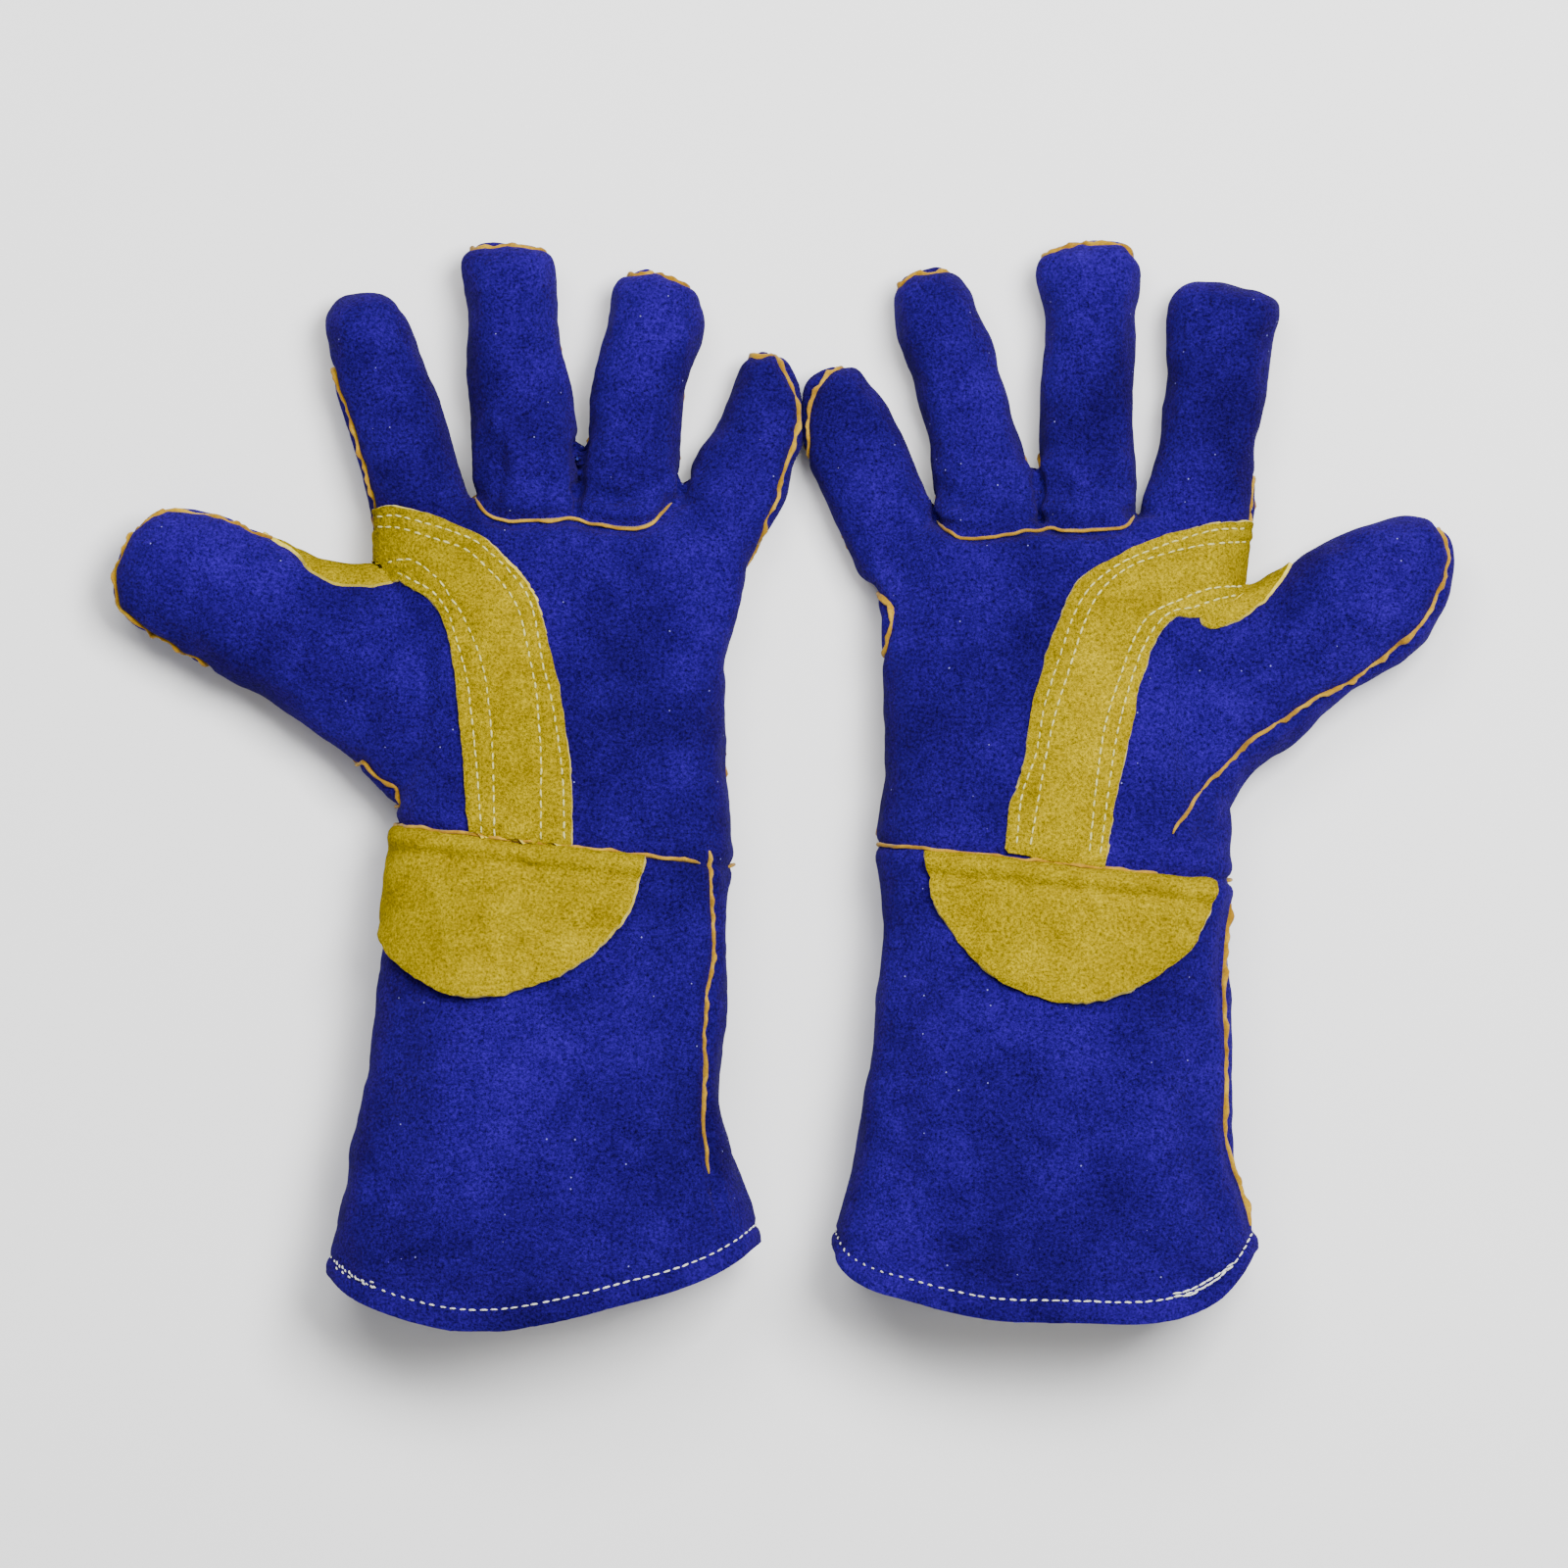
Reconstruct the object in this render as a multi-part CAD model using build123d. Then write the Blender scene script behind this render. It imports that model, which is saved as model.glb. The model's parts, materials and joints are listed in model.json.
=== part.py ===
"""A pair of leather welding gauntlets, lying palm up with the fingers along +Y and the cuffs along -Y.

Each glove is built in its own plan frame, whose origin is the middle of the wrist seam. The two are then placed
side by side, and the whole pair is centred over its footprint. All sizes are in millimetres.
"""

import json
import math
import os
from dataclasses import dataclass
from functools import lru_cache

from build123d import *

# ---- driving dimensions -----------------------------------------------------------------------------------------
CUFF_LENGTH = 158.0  # wrist seam to the lowest point of the hem
HAND_LENGTH = 113.5  # wrist seam to the base of the middle finger
GLOVE_SPACING = 162.5  # between the middles of the two wrist seams
HEM_HEIGHT = 66.0  # thickness of the open cuff at the hem
WRIST_HEIGHT = 50.0
KNUCKLE_HEIGHT = 38.0
THUMB_HEIGHT = 38.0
REST_FLAT = 0.6  # how far the soft underside is pressed flat where the glove lies

LEATHER = 1.4  # split cowhide panels
LINING = 1.2  # cotton lining inside the hand and the cuff
FINGER_WALL = 2.4  # finger leather with the lining bonded to it
LAYER_GAP = 0.2  # between two layers that lie on each other
JOINT_GAP = 0.5  # between two bodies that move against each other
WELT = 1.0  # thickness of the leather strip sewn into a seam
WELT_PROUD = 0.8  # how far a welt stands out of its seam
THREAD = 0.6  # thickness of a row of stitches
ROW_WIDTH = 1.0

HEM_STITCH_INSET = 11.0  # from the edge of the hem to its row of stitches
CUFF_LINING_SETBACK = 9.0  # the lining ends this far inside the hem
WELT_START = 7.0  # a finger's welt starts this far above the finger's base
THUMB_NOTCH_ROOM = 2.6  # clear space in the hand around the thumb's base
STRIP_END_GAP = 3.0  # the palm strip stops short of the wrist seam
REACH = 400.0  # longer than anything here, for cutting tools


# ---- what differs between the two gloves ------------------------------------------------------------------------
@dataclass(frozen=True)
class Finger:
    name: str
    x: float  # base point, across the hand
    back: float  # base point, below the line at HAND_LENGTH
    lean: float  # degrees clockwise from +Y
    length: float
    base_radius: float
    tip_radius: float


@dataclass(frozen=True)
class Glove:
    side: str
    shift: tuple  # of the wrist seam's middle, beside its half of the spacing
    seam_lean: float  # degrees clockwise, of the wrist seam
    cuff: tuple  # (share of CUFF_LENGTH from the wrist, middle x, half width)
    hand: tuple  # (share of HAND_LENGTH from the wrist, middle x, half width)
    hem: tuple  # (x, rise above the lowest point of the hem)
    fingers: tuple
    thumb: tuple  # (distance out from the thumb's seam, middle y, half width, half height)
    thumb_side: int  # -1 where the thumb points along -X
    thumb_x: float  # distance of the thumb's seam from the glove's middle
    flap: tuple  # (middle x, half width, depth)
    strip_outer: tuple  # the palm strip's edge away from the thumb, from the index finger to the wrist
    strip_inner: tuple  # its edge beside the thumb
    finger_welt: tuple  # under the two middle fingers
    cuff_seam: tuple  # from the wrist to the hem
    crotch: tuple  # the patch between thumb and index finger: (nearest and furthest out, lowest y)


LEFT = Glove(
    side="left",
    shift=(0.0, 0.0),
    seam_lean=7.0,
    cuff=((1.08, -5.0, 71.0), (0.70, -5.8, 64.2), (0.45, -4.8, 58.0), (0.2, -2.0, 56.0)),
    hand=((0.0, 0.0, 55.0), (0.44, 0.0, 53.5), (0.75, 3.0, 56.5), (1.12, 2.0, 66.0)),
    hem=((-84.0, 28.0), (-64.0, 9.0), (-28.0, 0.0), (20.0, 6.5), (52.0, 17.5), (80.0, 40.0)),
    fingers=(
        Finger("index", -44.0, 4.5, -17.0, 74.0, 15.4, 13.8),
        Finger("middle", -12.3, 0.0, -3.7, 84.0, 15.6, 15.2),
        Finger("ring", 21.0, 0.5, 8.4, 77.5, 15.6, 15.4),
        Finger("pinky", 51.6, 8.2, 18.7, 64.0, 15.0, 11.0),
    ),
    thumb=(
        (-4.0, 50.0, 35.0, 19.0),
        (8.0, 52.0, 35.0, 19.0),
        (26.0, 60.0, 30.0, 18.5),
        (44.0, 68.5, 27.0, 18.0),
        (62.0, 79.0, 26.0, 17.5),
        (80.6, 87.0, 23.0, 16.5),
        (94.0, 88.5, 16.0, 12.5),
        (102.4, 88.5, 4.0, 3.5),
    ),
    thumb_side=-1,
    thumb_x=44.0,
    flap=(-15.5, 41.5, 49.0),
    strip_outer=((-63.0, 106.0), (-38.0, 104.0), (-17.5, 93.5), (-6.0, 74.5), (-0.5, 48.0), (4.3, -4.0)),
    strip_inner=((-63.0, 90.5), (-49.0, 88.5), (-40.0, 76.0), (-34.6, 54.0), (-31.5, 24.0), (-28.0, -4.0)),
    finger_welt=((-28.0, 111.5), (-21.0, 107.0), (2.0, 106.5), (22.0, 104.0), (34.0, 106.8)),
    cuff_seam=((49.0, -9.0), (48.0, -60.0), (46.5, -84.0), (50.0, -112.0), (55.0, -150.0)),
    crotch=(6.0, 44.0, 79.0),
)

RIGHT = Glove(
    side="right",
    shift=(0.0, -5.8),
    seam_lean=5.9,
    cuff=((1.08, -5.0, 71.0), (0.73, -3.5, 64.0), (0.48, -3.0, 59.6), (0.2, -1.4, 58.2)),
    hand=((0.0, 0.0, 58.0), (0.44, 0.0, 57.0), (0.75, -1.0, 59.5), (1.12, -3.0, 70.0)),
    hem=((-84.0, 42.0), (-55.0, 16.0), (-10.0, 8.5), (20.0, 8.0), (48.0, 15.0), (78.0, 44.0)),
    fingers=(
        Finger("index", 46.4, 0.0, 8.5, 76.0, 16.4, 16.2),
        Finger("middle", 10.4, -3.5, 0.0, 86.5, 15.6, 15.2),
        Finger("ring", -21.6, 0.0, -13.4, 82.5, 15.0, 14.6),
        Finger("pinky", -57.0, 9.5, -16.0, 62.0, 15.4, 11.2),
    ),
    thumb=(
        (-4.0, 52.0, 33.5, 19.0),
        (9.0, 53.5, 33.5, 19.0),
        (23.0, 61.0, 30.5, 18.5),
        (39.0, 73.0, 29.5, 18.0),
        (55.0, 83.5, 27.5, 17.5),
        (68.0, 88.8, 23.5, 16.0),
        (77.0, 92.5, 15.0, 12.0),
        (83.0, 94.5, 4.0, 3.5),
    ),
    thumb_side=1,
    thumb_x=47.5,
    flap=(2.0, 46.5, 46.0),
    strip_outer=((67.0, 108.5), (38.7, 104.6), (11.0, 93.5), (0.0, 77.0), (-7.6, 50.0), (-18.6, 0.0)),
    strip_inner=((67.0, 89.5), (47.0, 86.0), (33.5, 76.0), (27.0, 59.0), (20.0, 29.0), (13.0, -3.0)),
    finger_welt=((-37.0, 109.0), (-27.0, 105.5), (-4.0, 108.8), (20.0, 109.4), (25.0, 112.5)),
    cuff_seam=((54.0, -14.0), (51.5, -60.0), (51.5, -88.0), (56.0, -112.0), (61.0, -150.0)),
    crotch=(6.0, 34.0, 80.0),
)


# ---- cutting tools, all square to the plan ----------------------------------------------------------------------
def turned(x, y, lean):
    """A place in the plan whose own +Y points along lean, in degrees clockwise from +Y."""
    return Location((x, y, 0), (0, 0, -lean))


def ahead_of(x, y, lean, start=0.0):
    """Everything further than start along lean from the point (x, y)."""
    return turned(x, y, lean) * Pos(0, start + REACH / 2, 0) * Box(REACH, REACH, REACH)


def slab(x, y, lean, low, high):
    """Everything between low and high along lean from the point (x, y)."""
    return turned(x, y, lean) * Pos(0, (low + high) / 2, 0) * Box(REACH, high - low, REACH)


def above(height):
    return Pos(0, 0, height + REACH / 2) * Box(2 * REACH, 2 * REACH, REACH)


def layer(middle, thickness):
    return Pos(0, 0, middle) * Box(2 * REACH, 2 * REACH, thickness)


def prism(face, low, high):
    """A plan outline as a solid from height low to height high."""
    return extrude(Pos(0, 0, low) * face, amount=high - low)


def curve(points):
    return Spline(*[(x, y, 0) for x, y in points])


def beside(edge, distance, count=14):
    """A smooth line that keeps its distance to the left of an edge, looking along it."""
    points = []
    for i in range(count):
        at = i / (count - 1)
        here, along = edge.position_at(at), edge.tangent_at(at)
        points.append((here.X - along.Y * distance, here.Y + along.X * distance, 0))
    return Spline(*points)


def between(first, second):
    """The face between two edges that run the same way."""
    ends = [Line(first @ 0, second @ 0), Line(first @ 1, second @ 1)]
    return make_face([first, second, *ends])


def band(edge, width):
    return between(beside(edge, width / 2), beside(edge, -width / 2))


# ---- the body of a glove: hand and cuff as one tapering sleeve --------------------------------------------------
def height_at(y):
    """Thickness of the sleeve at a distance y from the wrist seam."""
    if y < 0:
        return WRIST_HEIGHT + (HEM_HEIGHT - WRIST_HEIGHT) * -y / CUFF_LENGTH
    return WRIST_HEIGHT + (KNUCKLE_HEIGHT - WRIST_HEIGHT) * y / HAND_LENGTH


def stations(glove):
    """The sleeve's cross-sections, from the hem to the finger bases: (y, middle x, half width, half height)."""
    cuff = [(-share * CUFF_LENGTH, x, half) for share, x, half in glove.cuff]
    hand = [(share * HAND_LENGTH, x, half) for share, x, half in glove.hand]
    return [(y, x, half, height_at(y) / 2) for y, x, half in cuff + hand]


@lru_cache(maxsize=None)
def sleeve(glove, grow):
    """The solid sleeve, with every cross-section grown by the given distance."""
    sections = []
    for y, x, half_width, half_height in stations(glove):
        plane = Plane(origin=(x, y, half_height - REST_FLAT), x_dir=(1, 0, 0), z_dir=(0, 1, 0))
        sections.append(plane * Ellipse(half_width + grow, half_height + grow))
    return loft(sections)


@lru_cache(maxsize=None)
def shell(glove, low, high):
    """The layer of the sleeve between two distances from its outer surface, flat where it rests."""
    return (sleeve(glove, high) - sleeve(glove, low)) & above(0)


def hem_edge(glove, inset=0.0):
    """The line of the hem in the plan, moved up the cuff by inset."""
    return curve([(x, rise + inset - CUFF_LENGTH) for x, rise in glove.hem])


def past_hem(glove, inset=0.0):
    """Everything past the hem, or past a line that lies inside it by inset."""
    edge = hem_edge(glove, inset)
    start, end = edge @ 0, edge @ 1
    low = -2 * CUFF_LENGTH
    corners = [start, (-REACH, start.Y), (-REACH, low), (REACH, low), (REACH, end.Y), end]
    outline = [edge, Polyline(*[tuple(p)[:2] for p in corners])]
    return prism(make_face(outline), -REACH / 2, REACH / 2)


def seam_layer(thickness):
    """The layer where the palm and back panels meet, sloping from the wrist's middle to the knuckles' middle."""
    drop = (WRIST_HEIGHT - KNUCKLE_HEIGHT) / 2
    slope = math.degrees(math.atan2(-drop, HAND_LENGTH))
    at = Location((0, 0, WRIST_HEIGHT / 2 - REST_FLAT), (slope, 0, 0))
    return at * Box(2 * REACH, 2 * REACH, thickness)


def over_seam():
    drop = (WRIST_HEIGHT - KNUCKLE_HEIGHT) / 2
    slope = math.degrees(math.atan2(-drop, HAND_LENGTH))
    at = Location((0, 0, WRIST_HEIGHT / 2 - REST_FLAT), (slope, 0, 0))
    return at * Pos(0, 0, REACH / 2) * Box(2 * REACH, 2 * REACH, REACH)


# ---- the cuff ---------------------------------------------------------------------------------------------------
def cuff_side(glove):
    """Everything on the cuff's side of the wrist seam, clear of the welt in it."""
    return slab(0, 0, glove.seam_lean, -REACH, -WELT / 2)


def cuff_seam_slot(glove, width):
    return prism(band(curve(glove.cuff_seam), width), HEM_HEIGHT / 2 - REST_FLAT, REACH / 2)


def cuff_panel(glove):
    tube = (shell(glove, -LEATHER, 0) & cuff_side(glove)) - past_hem(glove)
    return tube - cuff_seam_slot(glove, WELT + 2 * LAYER_GAP)


def cuff_lining(glove):
    outside = -LEATHER - LAYER_GAP
    tube = shell(glove, outside - LINING, outside) & cuff_side(glove)
    return tube - past_hem(glove, CUFF_LINING_SETBACK)


def cuff_seam_welt(glove):
    strip = shell(glove, -LEATHER, WELT_PROUD) & cuff_seam_slot(glove, WELT)
    strip = strip & slab(0, 0, glove.seam_lean, -REACH, -WELT)
    return strip - past_hem(glove, HEM_STITCH_INSET + ROW_WIDTH)


def hem_stitching(glove):
    row = shell(glove, LAYER_GAP, LAYER_GAP + THREAD) - past_hem(glove, HEM_STITCH_INSET - ROW_WIDTH / 2)
    return row & past_hem(glove, HEM_STITCH_INSET + ROW_WIDTH / 2)


def wrist_welt(glove):
    return shell(glove, -LEATHER, WELT_PROUD) & slab(0, 0, glove.seam_lean, -WELT / 2, WELT / 2)


def wrist_flap(glove):
    """The half-moon patch that hangs from the wrist seam over the cuff."""
    x, half_width, depth = glove.flap
    lies_on = LAYER_GAP + THREAD
    middle = x, -x * math.tan(math.radians(glove.seam_lean))
    moon = turned(*middle, glove.seam_lean) * Ellipse(half_width, depth)
    root_gap = WELT / 2 + JOINT_GAP
    patch = shell(glove, lies_on, lies_on + LEATHER) & prism(moon, WRIST_HEIGHT / 2, REACH / 2)
    return patch & slab(0, 0, glove.seam_lean, -REACH, -root_gap)


# ---- the hand ---------------------------------------------------------------------------------------------------
def base_of(finger):
    return finger.x, HAND_LENGTH - finger.back


def thumb_notch(glove, room=THUMB_NOTCH_ROOM):
    """The space in the side of the hand that the thumb's base takes."""
    _, middle, half_width, _ = glove.thumb[0]
    _, next_middle, next_half_width, _ = glove.thumb[1]
    low = min(middle - half_width, next_middle - next_half_width) - room
    high = max(middle + half_width, next_middle + next_half_width) + room
    block = Box(REACH, high - low, REACH)
    return Pos(glove.thumb_side * (glove.thumb_x + REACH / 2), (low + high) / 2, 0) * block


def hand_space(glove):
    """The part of the plan that the hand's own layers fill: past the wrist welt, short of fingers and thumb."""
    space = slab(0, 0, glove.seam_lean, WELT / 2 + JOINT_GAP, REACH)
    for finger in glove.fingers:
        space -= ahead_of(*base_of(finger), finger.lean)
    return space - thumb_notch(glove)


def palm_panel(glove):
    leather = shell(glove, -LEATHER, 0) & hand_space(glove)
    return (leather & over_seam()) - seam_layer(WELT)


def back_panel(glove):
    leather = shell(glove, -LEATHER, 0) & hand_space(glove)
    return (leather - over_seam()) - seam_layer(WELT)


def hand_lining(glove):
    outside = -LEATHER - LAYER_GAP
    return shell(glove, outside - LINING, outside) & hand_space(glove)


def side_welts(glove):
    return shell(glove, -LEATHER, WELT_PROUD) & hand_space(glove) & seam_layer(WELT)


def strip_face(glove):
    return between(curve(glove.strip_outer), curve(glove.strip_inner))


def strip_space(glove):
    end = slab(0, 0, glove.seam_lean, STRIP_END_GAP, REACH)
    return hand_space(glove) & end & (over_seam() - seam_layer(2 * WELT + 2 * WELT_PROUD))


def palm_strip(glove):
    strip = shell(glove, LAYER_GAP, LAYER_GAP + LEATHER) & prism(strip_face(glove), 0, REACH / 2)
    return strip & strip_space(glove)


def palm_strip_stitching(glove):
    """Two rows along each edge of the palm strip."""
    lies_on = 2 * LAYER_GAP + LEATHER
    thread = shell(glove, lies_on, lies_on + THREAD) & strip_space(glove)
    towards_middle = glove.thumb_side
    rows = []
    for edge, way in ((curve(glove.strip_outer), 1), (curve(glove.strip_inner), -1)):
        for inset in (3.5, 7.5):
            line = beside(edge, towards_middle * way * inset)
            rows.append(thread & prism(band(line, ROW_WIDTH), 0, REACH / 2))
    return rows


def finger_base_welt(glove):
    line = band(curve(glove.finger_welt), WELT)
    welt = shell(glove, LAYER_GAP, LAYER_GAP + WELT) & prism(line, KNUCKLE_HEIGHT / 2, REACH / 2)
    return welt & hand_space(glove)


# ---- fingers ----------------------------------------------------------------------------------------------------
def finger_form(finger, grow, start):
    """A finger as a solid: a cone that ends in a dome, along its lean, from start above its base."""
    base, tip = finger.base_radius + grow, finger.tip_radius + grow
    dome = finger.length - finger.tip_radius
    outline = make_face(
        [
            Line((0, start), (base, start)),
            Line((base, start), (tip, dome)),
            CenterArc((0, dome), tip, 0, 90),
            Line((0, dome + tip), (0, start)),
        ]
    )
    x, y = base_of(finger)
    return Location((x, y, finger.base_radius), (0, 0, -finger.lean)) * revolve(outline, Axis.Y)


def finger_wall(finger):
    return finger_form(finger, 0, JOINT_GAP) - finger_form(finger, -FINGER_WALL, -REACH / 40)


def finger_front(finger):
    return finger_wall(finger) & above(finger.base_radius + WELT / 2)


def finger_back(finger):
    return finger_wall(finger) - above(finger.base_radius - WELT / 2)


def finger_welt(finger):
    rim = finger_form(finger, WELT_PROUD, WELT_START) - finger_form(finger, -FINGER_WALL, 0)
    return rim & layer(finger.base_radius, WELT)


# ---- the thumb --------------------------------------------------------------------------------------------------
def thumb_middle():
    return THUMB_HEIGHT / 2


@lru_cache(maxsize=None)
def thumb_form(glove, grow):
    """The thumb as a solid: cross-sections square to X, from inside its seam to its tip."""
    sections = []
    for i, (out, y, half_width, half_height) in enumerate(glove.thumb):
        tip = i == len(glove.thumb) - 1
        x = glove.thumb_side * (glove.thumb_x + out + (grow if tip else 0))
        plane = Plane(origin=(x, y, thumb_middle()), x_dir=(0, 1, 0), z_dir=(glove.thumb_side, 0, 0))
        sections.append(plane * Ellipse(half_width + grow, half_height * THUMB_HEIGHT / 38.0 + grow))
    return loft(sections)


def thumb_space(glove, start=JOINT_GAP):
    return Pos(glove.thumb_side * (glove.thumb_x + start + REACH / 2), 0, 0) * Box(REACH, REACH, REACH)


def thumb_wall(glove):
    return (thumb_form(glove, 0) - thumb_form(glove, -FINGER_WALL)) & thumb_space(glove)


def thumb_front(glove):
    return thumb_wall(glove) & above(thumb_middle() + WELT / 2)


def thumb_back(glove):
    return (thumb_wall(glove) - above(thumb_middle() - WELT / 2)) & above(0)


def thumb_welt(glove):
    rim = thumb_form(glove, WELT_PROUD) - thumb_form(glove, -FINGER_WALL)
    return rim & layer(thumb_middle(), WELT) & thumb_space(glove)


def thumb_crotch_patch(glove):
    """The yellow piece along the thumb's edge beside the index finger, on the palm side of the seam."""
    near, far, low = glove.crotch
    sheet = thumb_form(glove, LAYER_GAP + LEATHER) - thumb_form(glove, LAYER_GAP)
    x = glove.thumb_side * (glove.thumb_x + (near + far) / 2)
    block = Pos(x, low + REACH / 2, 0) * Box(far - near, REACH, REACH)
    floor = thumb_middle() + WELT / 2 + LAYER_GAP
    return sheet & block & above(floor)


# ---- the pair ---------------------------------------------------------------------------------------------------
GLOVE_NODES = {
    "cuff_panel": cuff_panel,
    "cuff_lining": cuff_lining,
    "cuff_seam_welt": cuff_seam_welt,
    "hem_stitching": hem_stitching,
    "wrist_welt": wrist_welt,
    "wrist_flap": wrist_flap,
    "palm_panel": palm_panel,
    "back_panel": back_panel,
    "hand_lining": hand_lining,
    "side_welts": side_welts,
    "palm_strip": palm_strip,
    "palm_strip_stitching": palm_strip_stitching,
    "finger_base_welt": finger_base_welt,
    "thumb_front": thumb_front,
    "thumb_back": thumb_back,
    "thumb_welt": thumb_welt,
    "thumb_crotch_patch": thumb_crotch_patch,
}
FINGER_NODES = {"front": finger_front, "back": finger_back, "welt": finger_welt}


def solids_of(made):
    pieces = made if isinstance(made, list) else [made]
    return [solid for piece in pieces for solid in piece.solids()]


def glove_nodes(glove):
    """Every node of one glove, by name, each a list of solids in the glove's own frame."""
    nodes = {name: make(glove) for name, make in GLOVE_NODES.items()}
    for finger in glove.fingers:
        for name, make in FINGER_NODES.items():
            nodes[f"{finger.name}_{name}"] = make(finger)
    return {f"{glove.side}_{name}": solids_of(made) for name, made in nodes.items()}


def place_of(glove):
    """Where the middle of a glove's wrist seam goes, before the pair is centred."""
    half = GLOVE_SPACING / 2 * (-1 if glove.side == "left" else 1)
    return half + glove.shift[0], glove.shift[1]


def main():
    placed = {}
    for glove in (LEFT, RIGHT):
        x, y = place_of(glove)
        for name, solids in glove_nodes(glove).items():
            placed[name] = Compound(children=[Pos(x, y, 0) * solid for solid in solids])
    box = Compound(children=[copy_of for copy_of in (Pos(0, 0, 0) * p for p in placed.values())]).bounding_box()
    centre = box.center()
    os.makedirs("parts", exist_ok=True)
    for name, shape in placed.items():
        export_step(Pos(-centre.X, -centre.Y, 0) * shape, f"parts/{name}.step")
    print(json.dumps({"centre": [centre.X, centre.Y], "lowest": box.min.Z, "size": list(box.size)}))


if __name__ == "__main__":
    main()
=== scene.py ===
"""A pair of suede welding gauntlets, lying palm up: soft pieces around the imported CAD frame."""

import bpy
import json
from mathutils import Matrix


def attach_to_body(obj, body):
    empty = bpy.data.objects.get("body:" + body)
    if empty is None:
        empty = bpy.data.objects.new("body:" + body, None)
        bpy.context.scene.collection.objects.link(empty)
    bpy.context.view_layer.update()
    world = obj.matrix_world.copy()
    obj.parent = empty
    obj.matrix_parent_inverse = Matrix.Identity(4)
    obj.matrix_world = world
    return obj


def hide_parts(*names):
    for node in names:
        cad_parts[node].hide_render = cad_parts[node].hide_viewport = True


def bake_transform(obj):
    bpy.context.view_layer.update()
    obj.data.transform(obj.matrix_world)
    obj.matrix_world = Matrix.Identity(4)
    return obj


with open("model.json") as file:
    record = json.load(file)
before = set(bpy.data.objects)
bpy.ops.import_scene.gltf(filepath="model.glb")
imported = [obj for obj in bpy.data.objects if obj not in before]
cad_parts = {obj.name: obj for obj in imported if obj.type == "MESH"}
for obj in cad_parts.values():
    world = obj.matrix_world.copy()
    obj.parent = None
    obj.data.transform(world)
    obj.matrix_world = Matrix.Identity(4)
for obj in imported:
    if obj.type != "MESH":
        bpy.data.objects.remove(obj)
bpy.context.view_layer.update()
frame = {"record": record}

import json
import math

import bmesh
import bpy
import numpy as np
from mathutils import Vector
from mathutils.bvhtree import BVHTree
from mathutils.kdtree import KDTree

# ---- sizes, in millimetres in the frame of the CAD model -----------------------------------------
MM = 0.001
VOXEL = 1.45
SMOOTHING = 7
LOWEST = 0.1
FINGERS = ("index", "middle", "ring", "pinky")
BODY_Y = [-190, -178, -100, -22, 20, 60, 78, 86, 94]
BODY_HALF_DEPTH = [32.6, 32.0, 28.6, 24.4, 22.4, 20.0, 17.8, 14.8, 10.5]
FINGER_HALF_DEPTH = {  # at the base and at the tip
    "index": (15.2, 13.6),
    "middle": (15.4, 14.6),
    "ring": (15.4, 14.2),
    "pinky": (14.6, 11.4),
    "thumb": (18.4, 15.6),
}
SEAM_DIP = 6.5  # the side seams lie this far below the middle, out of sight from above
HEM_ROW = 7.2  # from the hem's edge to its stitches
WELT_PROFILE = [(-0.45, -1.4), (-0.55, 0.7), (-0.3, 1.2), (0.3, 1.2), (0.55, 0.7), (0.45, -1.4)]
WRIST_PROFILE = [(-0.45, -1.4), (-0.6, 1.0), (-0.35, 1.6), (0.35, 1.6), (0.6, 1.0), (0.45, -1.4)]
BASE_WELT_PROFILE = [(-0.45, -0.8), (-0.55, 1.2), (-0.3, 1.9), (0.3, 1.9), (0.55, 1.2), (0.45, -0.8)]
TIP_RISE = 1.6  # at the fingertips the seam comes up past the middle by this less 1, times the dip
CREASE = 4.5  # depth, where two fingers press on each other

# ---- leather, lining, welts and stitches ---------------------------------------------------------
CUFF_LEATHER = 2.6
HAND_LEATHER = 1.6
STRIP_LEATHER = 1.5
PATCH_LEATHER = 1.3
FLAP_LEATHER = 1.7
LAID_ON = 0.1  # gap under the strip and the patch
FLEECE = 1.2
CUFF_FLEECE_DEPTH = 2.9  # below the leather's outer side
HAND_FLEECE_DEPTH = 2.0
FLEECE_FROM_HEM = 9.0
FLEECE_FROM_DIGITS = 13.0
WELT_STEP = 1.3
SHORTEST_WELT = 8.0
SHORTEST_WELT_LOOP = 40.0
PATCH_LOW = 8.0  # the patch ends at this height
STITCH_SEED = {"left": 5, "right": 6}
STITCH = {"pitch": 3.5, "length": 2.7, "width": 0.68, "height": 0.2}
HEM_STITCH = {"pitch": 3.4, "length": 2.6, "width": 0.66, "height": 0.2}
BACK_STITCH = {"pitch": 3.0, "length": 3.0, "width": 0.7, "height": 0.3}

# ---- where the surface is divided, and where it bends --------------------------------------------
OUT = {"left": -1, "right": 1}  # the way the thumb points
CUTS = {  # ahead of each finger's hinge
    "left": {"index": 6.0, "middle": 2.5, "ring": 6.0, "pinky": 8.0},
    "right": {"index": 3.5, "middle": 6.0, "ring": 4.5, "pinky": 5.0},
}
THUMB_SPAN = {  # lowest and highest Y at its base, and how far out its crotch lies
    "left": (-7.0, 68.5, 8.0),
    "right": (-19.0, 64.5, 22.0),
}
FLAP_LOW = {"left": 22.0, "right": 24.0}
HIDDEN = {  # plan boxes where a welt seen from above is sewn in out of sight: x0, x1, y0, y1
    "left": [(-27.2, 0.0, -40.0, -10.0)],
    "right": [(122.0, 150.0, -32.0, -17.0)],
}
BACK_STITCH_SPAN = {"left": (-146.0, -131.5), "right": (126.0, 145.5)}  # along X
PATCH_FAR = {
    "left": [(-122.9, 70.1), (-128.0, 76.5), (-158.0, 84.0), (-176.0, 90.0)],
    "right": [(135.7, 58.6), (146.6, 59.8), (149.8, 64.3), (160.0, 73.3), (167.0, 74.6)],
}
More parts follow.
